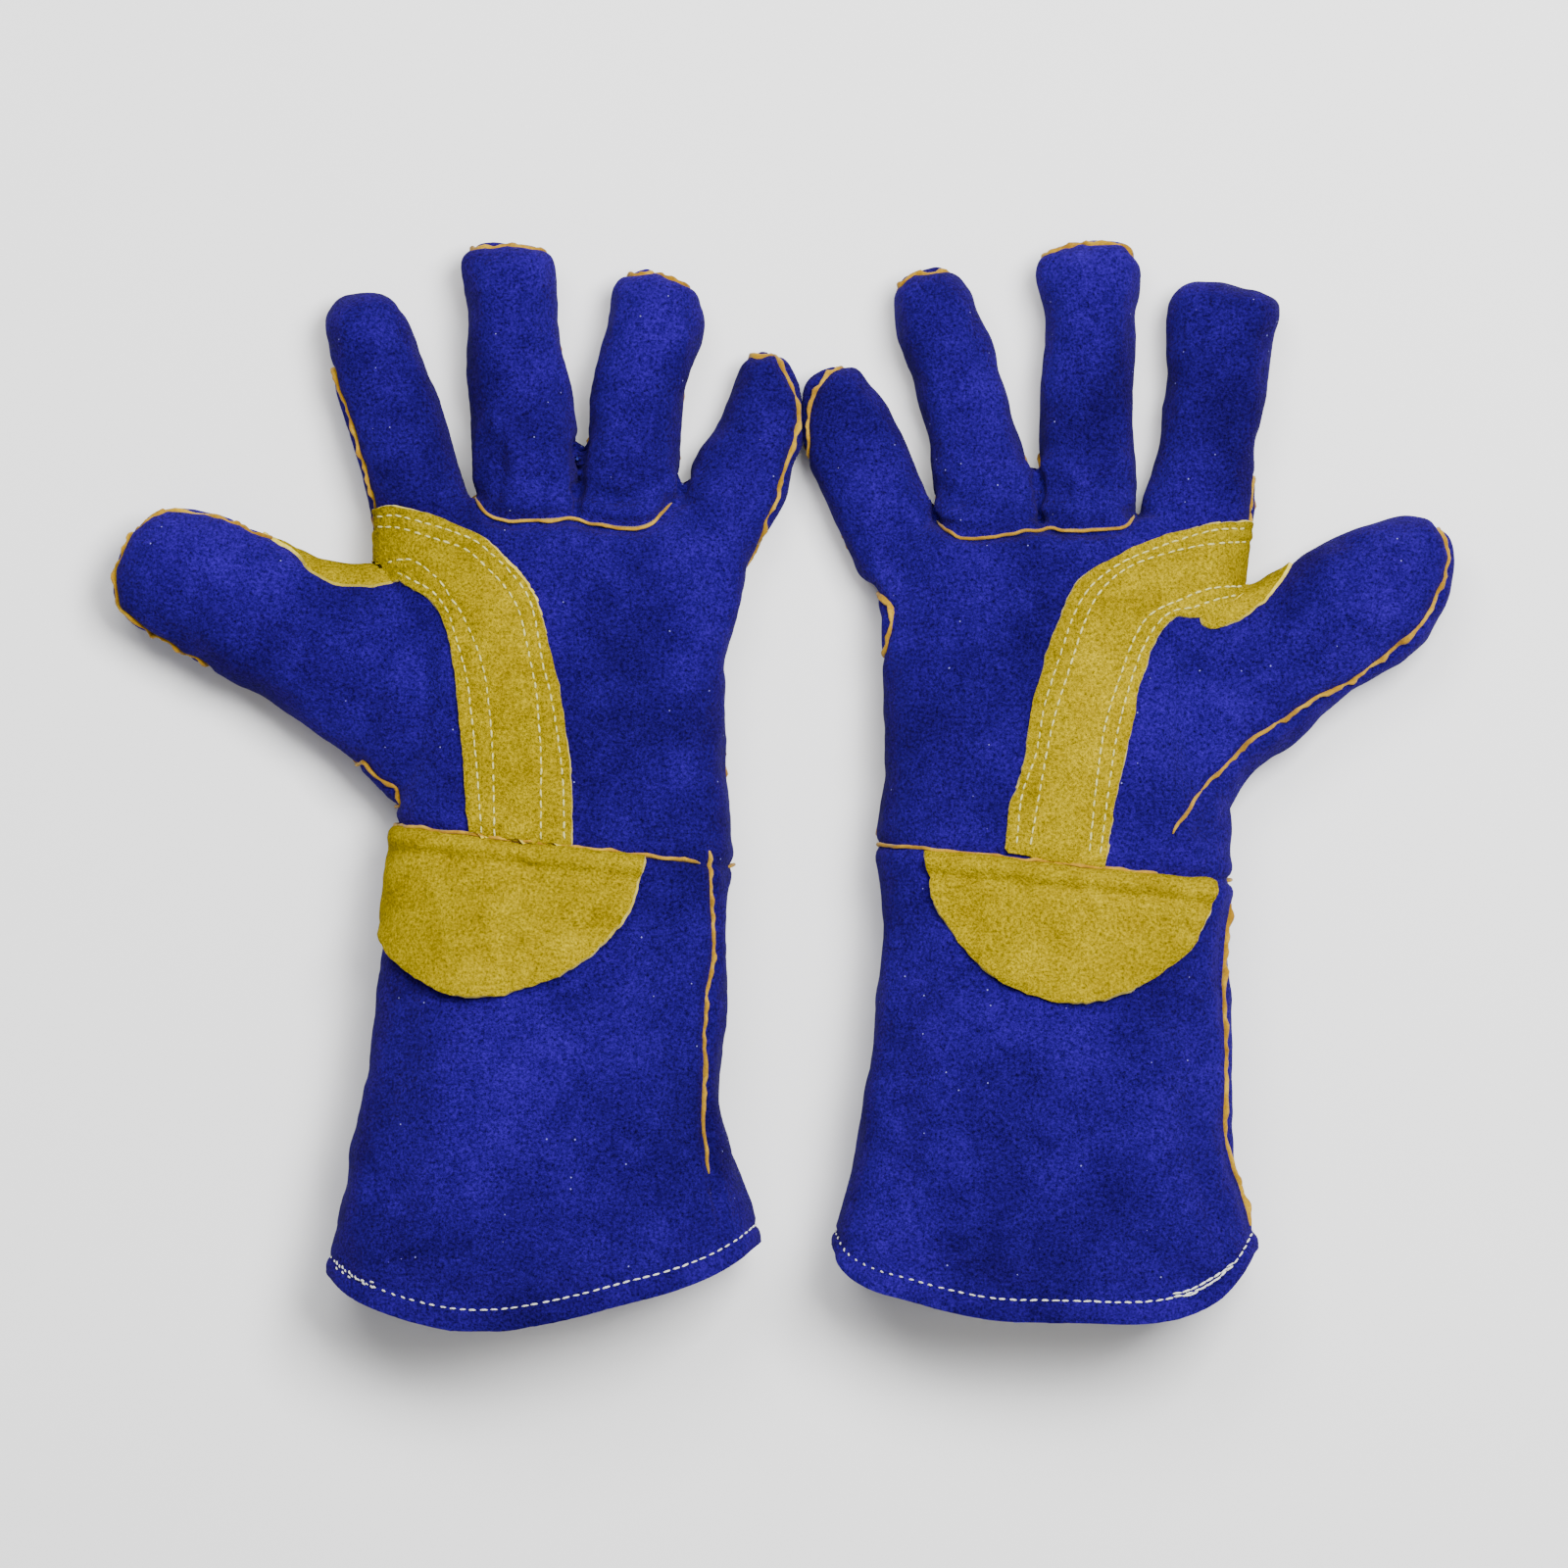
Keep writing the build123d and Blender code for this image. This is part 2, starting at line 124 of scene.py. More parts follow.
FOLDS = {
    "left": [
        ([(-127, -8), (-122, 10), (-118, 30), (-120, 48)], 0.9, 3.5),
        ([(-146, 12), (-135, 26), (-128, 44)], 0.8, 4.0),
        ([(-120, -45), (-124, -95), (-128, -140)], 0.8, 5.0),
        ([(-36, -40), (-34, -90), (-30, -130)], 0.7, 5.0),
        ([(-98, 97), (-86, 99), (-73, 97)], 0.7, 2.5),
        ([(-64, 99), (-50, 101), (-38, 98)], 0.7, 2.5),
        ([(-30, 70), (-24, 60), (-20, 44)], 0.6, 3.5),
        ([(-96.6, 111.0), (-93.1, 103.7), (-95.0, 95.7)], 2.2, 2.4),
        ([(-65.0, 95.1), (-53.8, 92.5), (-41.2, 96.7)], 2.2, 2.2),
        ([(-27.2, 74.9), (-20.8, 64.3), (-18.9, 55.7)], 1.2, 5),
        ([(-24.3, -125.1), (-22.1, -136.3), (-19.8, -148.2)], 0.9, 1.1),
        ([(-67.2, 25.3), (-51.2, 34.9), (-35.2, 50.9)], 0.7, 6),
        ([(-145.6, 63.7), (-150.4, 47.7), (-153.0, 34.9)], 0.5, 4),
    ],
    "right": [
        ([(139, -12), (134, 6), (132, 26), (136, 46)], 0.9, 3.5),
        ([(160, 16), (150, 30), (146, 46)], 0.8, 4.0),
        ([(44, -45), (40, -95), (36, -140)], 0.8, 5.0),
        ([(134, -50), (132, -100), (136, -140)], 0.7, 5.0),
        ([(54, 96), (66, 98), (80, 96)], 0.7, 2.5),
        ([(88, 98), (100, 100), (113, 98)], 0.7, 2.5),
        ([(44, 72), (38, 60), (36, 44)], 0.6, 3.5),
        ([(51.8, 94.7), (57.0, 92.5), (61.4, 95.7)], 2.0, 2.4),
        ([(85.8, 115.8), (93.4, 112.6), (101.8, 115.5)], 1.2, 4.5),
        ([(85.8, 98.2), (91.5, 94.7), (96.0, 90.9)], 2.2, 2.4),
        ([(107.5, 99.5), (110.7, 95.7), (112.6, 91.8)], 1.8, 2.4),
        ([(36.8, 63.7), (51.8, 59.8), (67.2, 50.9), (80.0, 34.2)], 1, 6.5),
        ([(136.0, 44.5), (131.8, 22.1), (133.8, 2.9)], 0.8, 5),
    ],
}

# ---- floor, light and camera, in metres ----------------------------------------------------------
FLOOR_REACH = 6.0
CAMERA_DISTANCE = 4.0
FRAME_WIDTH = 0.512
SENSOR_WIDTH = 36.0  # mm
WORLD_LIGHT = 0.4
LAMPS = [  # name, place, target, size, power
    ("key", (0.5, 0.4, 1.5), (0, 0, 0), (0.7, 0.7), 52),
    ("top", (-0.3, 0.9, 1.6), (0, 0, 0), (1.0, 0.8), 22),
]

# ---- outlines in the plan, in millimetres --------------------------------------------------------
LEFT = {
    "fingers": {  # each side from base to tip, then from tip to base
        "index": (
            [
                (-128, 50.9), (-132.5, 69.1), (-134.4, 85.8), (-136.6, 97.3), (-139.8, 106.2),
                (-143, 114.6), (-145.6, 122.9), (-148.5, 140.8), (-150.1, 150.7), (-148.2, 155.8),
                (-144.3, 159.4),
            ],
            [
                (-138.9, 160.6), (-132.2, 159.7), (-127, 155.8), (-122.6, 149.4), (-117.4, 138.9),
                (-113.3, 128), (-109.8, 115.2), (-107.5, 107.5), (-105.3, 99.5), (-104.3, 90.9),
                (-104.3, 76.5),
            ],
        ),
        "middle": (
            [
                (-96, 66.9), (-97.6, 89.3), (-99.5, 94.4), (-101.4, 100.5), (-103, 109.1), (-104, 128.3),
                (-103.4, 145.6), (-103, 152.3), (-104.3, 159), (-105.6, 167.7), (-104.6, 172.2),
                (-100.5, 175.7),
            ],
            [
                (-90.2, 176.3), (-80.6, 174.7), (-76.5, 171.5), (-75.2, 166.1), (-73, 150.4), (-71, 138.9),
                (-69.1, 122.9), (-67.2, 111.7), (-65.9, 102.1), (-65.9, 86.1), (-66.6, 66.9),
            ],
        ),
        "ring": (
            [
                (-69.1, 66.9), (-69.4, 86.1), (-69.4, 97.3), (-67.8, 108.2), (-64.3, 114.9), (-63, 124.5),
                (-62.1, 134.1), (-60.2, 143.7), (-58.2, 153.3), (-57.6, 160), (-56.3, 163.8),
                (-53.1, 167.7),
            ],
            [
                (-44.2, 170.2), (-33.3, 165.8), (-28.5, 162.6), (-26.6, 158.1), (-25.6, 153.3),
                (-25.9, 148.5), (-27.5, 142.7), (-29.8, 135), (-31.4, 128.3), (-32.6, 119.7),
                (-33.9, 109.1), (-34.2, 96.6), (-35.8, 86.1), (-38.4, 66.9),
            ],
        ),
        "pinky": (
            [
                (-35.8, 63.7), (-35.2, 82.9), (-33, 96.6), (-30.7, 102.7), (-27.5, 110.1), (-23, 116.8),
                (-19.2, 124.5), (-16.3, 131.2), (-13.4, 137), (-10.6, 139.8),
            ],
            [
                (-6.4, 141.1), (0, 138.6), (3.2, 134.1), (5.1, 129.3), (6.1, 123.5), (5.8, 116.8),
                (4.8, 111), (2.2, 104.3), (0.3, 96.6), (-1.9, 89.9), (-5.8, 83.2), (-8.6, 78.1),
                (-12.2, 71.7), (-13.4, 63.7),
            ],
        ),
        "thumb": (
            [
                (-105.6, 59.8), (-116.5, 63), (-125.1, 66.9), (-132.2, 69.1), (-141.8, 69.8), (-149.4, 71),
                (-155.8, 73.6), (-160.3, 76.2), (-164.8, 78.7), (-170.6, 82.6), (-175.7, 84.8),
                (-182.7, 87.7), (-189.4, 89.6), (-195.8, 90.9), (-202.2, 90.6), (-207.4, 88.6),
                (-212.5, 84.2), (-217, 77.4), (-219.2, 70.1),
            ],
            [
                (-219.2, 62.4), (-217, 57.3), (-212.5, 52.2), (-207.4, 48.6), (-201, 45.1), (-194.6, 41.3),
                (-186.9, 38.1), (-178.9, 32.6), (-171.2, 29.1), (-164.8, 24.6), (-155.8, 18.9),
                (-146.9, 12.2), (-139.2, 5.8), (-134.1, 0.3), (-129, -4.8), (-118.4, -11.8),
                (-107.2, -16.3),
            ],
        ),
    },
    "left_edge": [
        (-154.2, -182.7), (-150.4, -168.3), (-147.8, -154.2), (-145.3, -143.7), (-143, -131.8),
        (-140.2, -117.4), (-137, -104.6), (-135, -91.5), (-134.1, -77.1), (-132.2, -65.3), (-130.2, -51.5),
        (-129, -37.1), (-127.4, -22.7), (-126.4, -13.1), (-126.1, -0.3), (-126.1, 15.7), (-126.7, 31.7),
        (-128, 50.9), (-129.9, 69.1), (-130.6, 82.9), (-128, 93.1),
    ],  # of cuff and hand
    "right_edge": [
        (0, -173.1), (-3.8, -160.3), (-8.3, -147.5), (-12.2, -136.3), (-15, -127), (-17.6, -117.4),
        (-19.8, -109.1), (-20.5, -101.1), (-19.8, -83.2), (-19.2, -66.6), (-18.9, -47.7), (-18.6, -29.8),
        (-18.2, -9.9), (-18.6, 12.5), (-19.8, 31.7), (-20.5, 39.7), (-18.6, 47.7), (-16.3, 54.4),
        (-14.4, 61.1), (-13.1, 67.8), (-11.5, 73.9), (-10.2, 81.3), (-11.5, 89.3),
    ],  # of cuff and hand
    "hem": [
        (-160, -146.9), (-148.2, -160.3), (-142.4, -166.1), (-136, -169.6), (-126.4, -173.1),
        (-118.1, -175.4), (-108.8, -177.3), (-99.2, -177.9), (-88.6, -177.3), (-77.8, -175.4),
        (-65, -172.5), (-51.8, -169), (-40, -166.1), (-29.4, -162.6), (-21.1, -159), (-14.1, -154.9),
        (-9.6, -151.4), (0, -143.7),
    ],
    "finger_welt": [
        (-100.8, 93.1), (-99.5, 90.2), (-97, 87.4), (-92.2, 85.8), (-86.1, 85.4), (-78.4, 86.1),
        (-71, 86.4), (-64, 85.1), (-55.7, 83.8), (-48, 83.8), (-44.2, 84.5), (-40.3, 87.4), (-37.1, 91.5),
    ],
    "cuff_seam": [
        (-24.6, -22.1), (-24.3, -26.6), (-23.7, -35.8), (-23, -49.9), (-23, -57.3), (-24.6, -64.3),
        (-25.6, -73.6), (-25.9, -83.2), (-26.2, -95), (-26.6, -106.9), (-25.6, -118.7), (-24.3, -127),
    ],
    "flap": [
        (-127, -16.3), (-128.6, -19.5), (-129.3, -27.5), (-130.6, -34.6), (-131.2, -41.9), (-129.9, -49),
        (-126.4, -56), (-120.3, -61.8), (-112, -67.2), (-106.2, -68.8), (-99.8, -69.4), (-90.9, -68.8),
        (-82.6, -66.6), (-73, -62.4), (-63.7, -56.6), (-56.6, -49.6), (-51.8, -41.9), (-48.3, -33.6),
        (-46.1, -27.2), (-45.4, -23.4),
    ],
    "patch": [
        (-173.4, 83.2), (-166.4, 79), (-160, 75.2), (-157.4, 72), (-154.6, 69.1), (-150.7, 66.6),
        (-146.9, 65), (-141.8, 64.3), (-136.6, 64.3), (-131.2, 65), (-126.4, 65.6), (-124.5, 66.9),
    ],
    "strip": (  # its two long edges
        [
            (-134.4, 89.6), (-128.3, 90.6), (-121.3, 89.3), (-113.6, 87), (-108.2, 84.2), (-101.8, 81.9),
            (-96, 78.4), (-90.2, 72.3), (-84.5, 65.9), (-80.6, 59.2), (-78.4, 52.5), (-76.5, 43.8),
            (-73.3, 30.7), (-71.4, 18.9), (-70.1, 9.3), (-69.1, -6.7), (-69.4, -22.1),
        ],
        [
            (-101.1, -20.8), (-103, -9.9), (-103.7, 2.2), (-105, 15), (-106.2, 27.8), (-107.5, 39.4),
            (-109.4, 48.3), (-112, 55.4), (-116.2, 60.5), (-122.6, 64.3), (-125.1, 66.9), (-128.6, 67.5),
            (-133.4, 68.8),
        ],
    ),
    "rows": [  # of stitches on the strip
        [
            (-133.1, 87), (-127.4, 87.4), (-122.6, 86.4), (-113.6, 83.8), (-106.2, 81.3), (-100.8, 79),
            (-94.1, 73.6), (-88.3, 67.8), (-83.5, 61.1), (-81.3, 54.4), (-79.7, 45.8), (-78.4, 38.1),
            (-76.2, 29.8), (-74.2, 18.9), (-72.6, 7.7), (-71.7, -3.5), (-71.4, -18.9),
        ],
        [
            (-133.1, 83.8), (-125.1, 83.2), (-114.9, 80), (-107.8, 77.8), (-102.7, 75.5), (-96, 69.4),
            (-90.2, 63), (-86.4, 56.3), (-84.2, 47.7), (-82.2, 38.1), (-80.6, 29.8), (-79.7, 18.9),
            (-79, 7.7), (-79, -3.5), (-79, -18.9),
        ],
        [
            (-129.9, 72), (-122.6, 73), (-117.4, 70.4), (-112, 65.6), (-108.2, 59.8), (-105.6, 56.3),
            (-101.8, 48.6), (-98.9, 41), (-97, 33.3), (-95.7, 22.1), (-94.7, 9.3), (-94.4, -3.5),
            (-94.1, -18.6),
        ],
        [
            (-126.7, 69.1), (-121.3, 66.2), (-114.9, 62.7), (-109.8, 56.3), (-107.5, 49.6), (-105.3, 41.9),
            (-103.4, 35.2), (-102.1, 25.3), (-100.8, 14.1), (-99.5, -0.3), (-98.2, -18.6),
        ],
    ],
    "wraps": [  # where a side seam comes round to the palm: the seam, and points beyond the glove
        ([
            (-6.1, 143), (-1.6, 137.9), (1.3, 133.1), (3.2, 128.3), (4.5, 123.5), (4.5, 119.7), (2.9, 112),
            (1, 106.2), (-1, 98.6), (-2.9, 91.8), (-5.8, 86.1), (-8.3, 79.4), (-9.6, 74.6),
        ], [(12.8, 70.1), (16, 146.9)]),
        ([
            (-149.8, 143), (-147.2, 134.7), (-144.6, 124.5), (-139.8, 110.4), (-136, 99.5), (-134.1, 87.4),
            (-133.1, 76.5), (-132.8, 70.1),
        ], [(-137.6, 75.8), (-153.6, 89.3), (-160, 143)]),
        (
            [(-137, 8), (-133.4, 3.2), (-130.6, 0.6), (-127.4, -1.6), (-125.4, -7.4)],
            [(-140.8, -9.9), (-144, 2.9)],
        ),
    ],
    "tips": [
        (-96, 176.3, 4.48), (-84.8, 175, 4.48), (-46.4, 169.9, 3.84), (-35.2, 166.1, 4.48),
        (-7.7, 140.5, 2.56), (-172.2, 82.9, 3.84), (-183, 87.4, 4.48), (-195.8, 90.6, 5.12),
        (-208, 87.4, 5.12), (-217, 76.5, 5.12), (-218.9, 63.7, 5.12), (-213.1, 52.8, 5.12),
        (-201.6, 45.4, 4.48), (-192, 40, 3.2),
    ],  # where the seam rises at a tip: x, y, radius
}

RIGHT = {
    "fingers": {  # each side from base to tip, then from tip to base
        "index": (
            [
                (117.1, 57.3), (117.4, 76.5), (118.1, 91.8), (120.6, 101.4), (122.2, 107.2), (123.5, 114.9),
                (124.5, 122.6), (125.8, 132.2), (125.8, 140.8), (126.1, 148.5), (127, 154.2), (128.3, 159),
                (131.2, 162.6), (135.7, 164.5),
            ],
            [
                (144.3, 164.2), (156.8, 161), (161, 159.4), (162.9, 156.5), (163.2, 152.6), (161.9, 148.5),
                (160, 141.8), (158.7, 134.1), (157.8, 125.4), (156.8, 115.8), (155.2, 107.2), (154.2, 99.5),
                (153.6, 92.8), (153, 86.1), (151, 76.5), (149.1, 63.7), (147.2, 50.9),
            ],
        ),
        "middle": (
            [
                (83.8, 57.3), (83.5, 76.5), (83.5, 84.2), (83.2, 89.9), (82.6, 103.4), (83.2, 111),
                (83.8, 120.6), (84.2, 128.3), (84.5, 137.9), (84.8, 146.6), (84.8, 153.3), (83.8, 159),
                (82.9, 162.9), (82.6, 166.7), (83.5, 170.6), (85.4, 173.4), (89.3, 175.4),
            ],
            [
                (98.9, 177.3), (109.4, 176), (112.6, 174.7), (114.2, 171.5), (115.2, 165.8), (115.2, 160),
                (114.2, 156.2), (113.9, 151.4), (114.6, 143.7), (114.9, 128.3), (114.9, 114.9),
                (114.9, 105.3), (114.6, 92.5), (114.2, 76.5), (114.2, 57.3),
            ],
        ),
        "ring": (
            [
                (55, 57.3), (51.2, 76.5), (49.6, 88), (49.6, 93.8), (49.3, 99.5), (48.3, 105.3),
                (47.7, 112), (46.1, 118.7), (43.5, 126.4), (41.6, 133.1), (38.7, 140.8), (36.8, 146.6),
                (36.2, 151.4), (36.2, 157.1), (36.8, 161), (39.4, 164.5), (43.2, 166.7),
            ],
            [
                (49.9, 168.6), (53.8, 167.7), (57.6, 164.8), (61.4, 161), (63.7, 155.2), (66.2, 149.4),
                (68.2, 143.7), (70.1, 137), (72, 131.2), (73.6, 126.4), (74.6, 121.3), (77.1, 114.9),
                (79.4, 109.1), (81.9, 102.4), (83.5, 95.7), (84.2, 88), (84.5, 76.5), (84.5, 57.3),
            ],
        ),
        "pinky": (
            [
                (34.9, 50.9), (32, 63.7), (25.9, 65.6), (22.1, 71.7), (17.6, 80.3), (14.4, 89),
                (11.8, 95.7), (8.6, 103.4), (7, 110.1), (6.4, 116.8), (6.7, 124.5), (6.7, 128.3),
                (8.3, 132.2), (11.8, 135),
            ],
            [
                (17.9, 137), (23.4, 136.3), (25.9, 134.1), (28.8, 130.2), (32, 126.4), (34.9, 121.6),
                (37.4, 115.8), (40.3, 108.2), (43.5, 101.4), (46.7, 93.8), (49.9, 86.7), (51.8, 76.5),
                (52.5, 57.3),
            ],
        ),
        "thumb": (
            [
                (128, 59.8), (140.8, 61.8), (151, 63), (158.4, 66.2), (163.5, 69.8), (167, 72.3),
                (171.2, 75.2), (176, 78.1), (181.8, 80.3), (188.5, 83.2), (194.2, 85.8), (200, 87),
                (205.8, 87), (211.5, 85.8), (215.4, 83.2), (218.2, 80), (219.5, 75.5),
            ],
            [
                (219.2, 70.1), (218.6, 65.9), (217.3, 60.2), (215.4, 55.4), (212.5, 50.6), (208.6, 44.8),
                (203.8, 40.6), (198.1, 36.5), (194.6, 34.9), (185.3, 29.8), (174.7, 20.8), (162.6, 10.2),
                (152, 1), (145.9, -7.4), (140.8, -16.3), (132.8, -22.7),
            ],
        ),
    },
    "left_edge": [
        (8.3, -182.7), (11.5, -163.5), (15.4, -148.2), (19.2, -139.2), (21.8, -129), (24.3, -115.5),
        (25.9, -102.4), (27.8, -87.7), (29.8, -73), (31, -58.2), (31.7, -43.5), (31.7, -29.1),
        (31.7, -14.4), (32.6, -3.8), (33, 6.4), (32.6, 22.4), (32.3, 37.1), (31.7, 44.8), (30.7, 52.5),
        (29.4, 59.8), (28.2, 66.9), (29.4, 76.5), (33.6, 82.9),
    ],  # of cuff and hand
    "right_edge": [
        (160, -179.5), (156.8, -163.5), (153.9, -148.2), (152.3, -140.5), (149.4, -130.2), (146.9, -118.7),
        (145.9, -106.9), (146.6, -95), (146.6, -80.3), (145.9, -65.6), (145.6, -50.9), (146.6, -39.4),
        (146.9, -29.1), (146.2, -22.1), (145.3, -13.1), (144.6, -0.3), (144, 15.7), (145.3, 31.7),
        (147.8, 50.9), (149.1, 66.9), (149.1, 79.7), (145.6, 87.7),
    ],  # of cuff and hand
    "hem": [
        (4.8, -138.6), (15, -150.7), (17.6, -155.8), (21.4, -160.6), (28.8, -164.8), (39.4, -167.7),
        (53.8, -171.5), (68.5, -174.1), (83.2, -174.7), (97.9, -175), (112.6, -175.4), (124.5, -174.4),
        (133.1, -172.2), (140.5, -168.6), (145.6, -164.5), (150.4, -158.4), (153.9, -152.3),
        (163.2, -141.1),
    ],
    "finger_welt": [
        (50.6, 85.4), (53.1, 82.2), (57.6, 80.3), (62.4, 79.7), (68.2, 80.3), (74.9, 81.6), (82.6, 82.6),
        (86.4, 83.2), (92.2, 82.6), (100.8, 82.6), (108.5, 83.2), (112.3, 84.2), (114.2, 87.4),
    ],
    "cuff_seam": [
        (145.9, -39.4), (144.3, -49.6), (143.4, -64.3), (143.7, -80.3), (143.7, -95), (143.4, -109.8),
        (145, -121.6), (149.1, -133.4), (152, -144.3),
    ],
    "flap": [
        (44.2, -18.2), (47.4, -27.5), (50.9, -40.6), (57, -51.8), (67.2, -62.1), (79, -68.5), (87.7, -71),
        (94.7, -71.4), (102.4, -70.4), (112.6, -67.2), (121.6, -62.1), (130.2, -54.1), (135.4, -43.5),
        (137.9, -36.2), (139.2, -32),
    ],
    "patch": [
        (165.8, 71), (162.6, 66.2), (160, 62.7), (156.8, 59.2), (152, 55.4), (147.2, 52.5), (142.4, 50.9),
        (138.9, 50.6), (136.3, 52.2), (135.7, 54.7),
    ],
    "strip": (  # its two long edges
        [
            (152.6, 85.8), (144.3, 85.1), (138.6, 84.2), (130.9, 82.2), (123.2, 80), (115.2, 77.1),
            (107.5, 73.3), (101.8, 70.4), (96, 65.6), (93.1, 61.1), (90.6, 55.4), (88.3, 49.6),
            (85.8, 41.9), (83.5, 34.2), (80.3, 22.1), (78.4, 7.7), (75.8, -2.6), (73.6, -7), (72, -22.1),
        ],
        [
            (104, -27.8), (107.5, -5.4), (110.4, 6.4), (113.3, 19.5), (115.5, 31.4), (117.8, 38.1),
            (119.7, 43.8), (122.2, 48.6), (125.1, 52.5), (128, 54.4), (131.8, 54.1), (136.3, 54.4),
            (140.8, 57.6), (145.6, 59.5), (149.1, 60.2), (152, 61.8),
        ],
    ),
    "rows": [  # of stitches on the strip
        [
            (151, 83.2), (143.4, 82.9), (137.6, 81.9), (128, 79), (118.4, 75.5), (110.4, 72), (103.7, 67.5),
            (98.6, 62.4), (94.1, 54.1), (89.9, 41.6), (84.8, 25.3), (81.9, 9.3), (77.4, -3.8),
            (75.5, -20.2),
        ],
        [
            (151.4, 79), (140.5, 78.1), (130.9, 76.5), (119.4, 73.3), (112, 70.1), (105.9, 65.6),
            (101.1, 59.5), (97.3, 50.9), (92.8, 37.1), (87.7, 20.5), (84.2, 3.2), (80, -20.5),
        ],
        [
            (149.8, 64.3), (140.5, 63.7), (134.7, 62.1), (128, 59.2), (123.2, 57.3), (117.8, 53.4),
            (113.6, 46.1), (109.8, 35.8), (104.6, 19.5), (101.8, 1.9), (99.2, -22.4),
        ],
        [
            (147.8, 61.4), (140.8, 59.8), (133.4, 57.3), (126.7, 56), (122.2, 52.5), (118.4, 47),
            (114.2, 37.1), (109.1, 19.5), (106.2, 2.9), (102.7, -23.4),
        ],
    ],
    "wraps": [  # where a side seam comes round to the palm: the seam, and points beyond the glove
        ([
            (21.1, 138.6), (15.7, 134.7), (12.5, 131.8), (10.2, 128.3), (9, 123.5), (8.3, 118.7), (8, 111),
            (7.7, 104.6), (5.8, 98.9),
        ], [(-3.2, 98.9), (-3.2, 143.7)]),
        (
            [(29.8, 61.8), (33, 58.9), (34.6, 56.3), (34.2, 51.5), (33.6, 44.8), (30.7, 38.7)],
            [(22.4, 38.1), (22.4, 63.7)],
        ),
        (
            [(155.5, 105.3), (153.9, 98.6), (152.6, 86.1), (151, 75.5), (150.4, 69.1)],
            [(155.5, 72.6), (166.4, 82.9), (169.6, 102.1)],
        ),
        ([
            (212.5, 86.1), (216.3, 80.6), (217.9, 75.2), (216.3, 67.5), (211.2, 57), (205.1, 49.3),
            (197.4, 41.9), (186.9, 34.2), (174.7, 28.2), (162.6, 20.8), (150.7, 13.1), (142.4, 4.2),
            (134.1, -5.1), (128, -12.5), (126.1, -19.5), (124.8, -29.1), (123.5, -41.9),
        ], [(156.8, -51.5), (236.8, 31.7), (233.6, 86.1)]),
    ],
    "tips": [
        (91.2, 175.7, 4.48), (104, 176.3, 5.12), (112, 175, 3.2), (48, 168, 4.48), (40, 164.8, 2.56),
        (16, 136, 1.92),
    ],  # where the seam rises at a tip: x, y, radius
}


# ---- lines ---------------------------------------------------------------------------------------
def smooth_line(points, count):
    """A Catmull-Rom curve through the points, as count points at equal distances."""
    p = np.array(points, float)
    p = np.vstack([2 * p[0] - p[1], p, 2 * p[-1] - p[-2]])
    t = np.linspace(0, 1, 12, endpoint=False)[:, None]
    runs = []
    for a, b, c, d in zip(p, p[1:], p[2:], p[3:]):
        square, cube = 2 * a - 5 * b + 4 * c - d, 3 * b - a - 3 * c + d
        runs.append(0.5 * (2 * b + (c - a) * t + square * t**2 + cube * t**3))
    line = np.vstack(runs + [p[-2][None]])
    return resample(line, count)


def resample(line, count):
    steps = np.linalg.norm(np.diff(line, axis=0), axis=1)
    at = np.concatenate([[0], np.cumsum(steps)])
    want = np.linspace(0, at[-1], count)
    return np.stack([np.interp(want, at, line[:, k]) for k in range(line.shape[1])], axis=1)


def length_of(line):
    return float(np.linalg.norm(np.diff(line, axis=0), axis=1).sum())


def side_distance(xy, line):
    """Distance from each point to a plan polyline, positive on its left."""
    best = np.full(len(xy), 1e9)
    sign = np.ones(len(xy))
    for a, b in zip(line[:-1], line[1:]):
        ab = b - a
        t = np.clip(((xy - a) @ ab) / (ab @ ab + 1e-12), 0, 1)
        off = xy - (a + t[:, None] * ab)
        d = np.linalg.norm(off, axis=1)
        cross = ab[0] * off[:, 1] - ab[1] * off[:, 0]
        nearer = d < best
        sign = np.where(nearer, np.where(cross >= 0, 1.0, -1.0), sign)
        best = np.where(nearer, d, best)
    return best * sign


def inside(xy, outline):
    """Distance from each point to a closed plan outline, positive inside."""
    best = np.full(len(xy), 1e9)
    odd = np.zeros(len(xy), bool)
    for a, b in zip(outline, np.roll(outline, -1, axis=0)):
        ab = b - a
        t = np.clip(((xy - a) @ ab) / (ab @ ab + 1e-12), 0, 1)
        d = np.linalg.norm(xy - (a + t[:, None] * ab), axis=1)
        best = np.minimum(best, d)
        spans = (a[1] > xy[:, 1]) != (b[1] > xy[:, 1])
        with np.errstate(divide="ignore", invalid="ignore"):
            at = a[0] + (xy[:, 1] - a[1]) * ab[0] / ab[1]
        odd ^= spans & (xy[:, 0] < at)
    return np.where(odd, best, -best)


# ---- smooth random fields ------------------------------------------------------------------------
class Noise:
    """A sum of random waves, the same on every run."""

    def __init__(self, seed, size, waves=28):
        rng = np.random.default_rng(seed)
        self.k = rng.normal(size=(waves, 3)) * (2 * math.pi / size) * 0.6
        self.phase = rng.uniform(0, 2 * math.pi, waves)
        self.scale = math.sqrt(2.0 / waves)

    def __call__(self, co):
        return np.sin(co @ self.k.T + self.phase).sum(axis=1) * self.scale


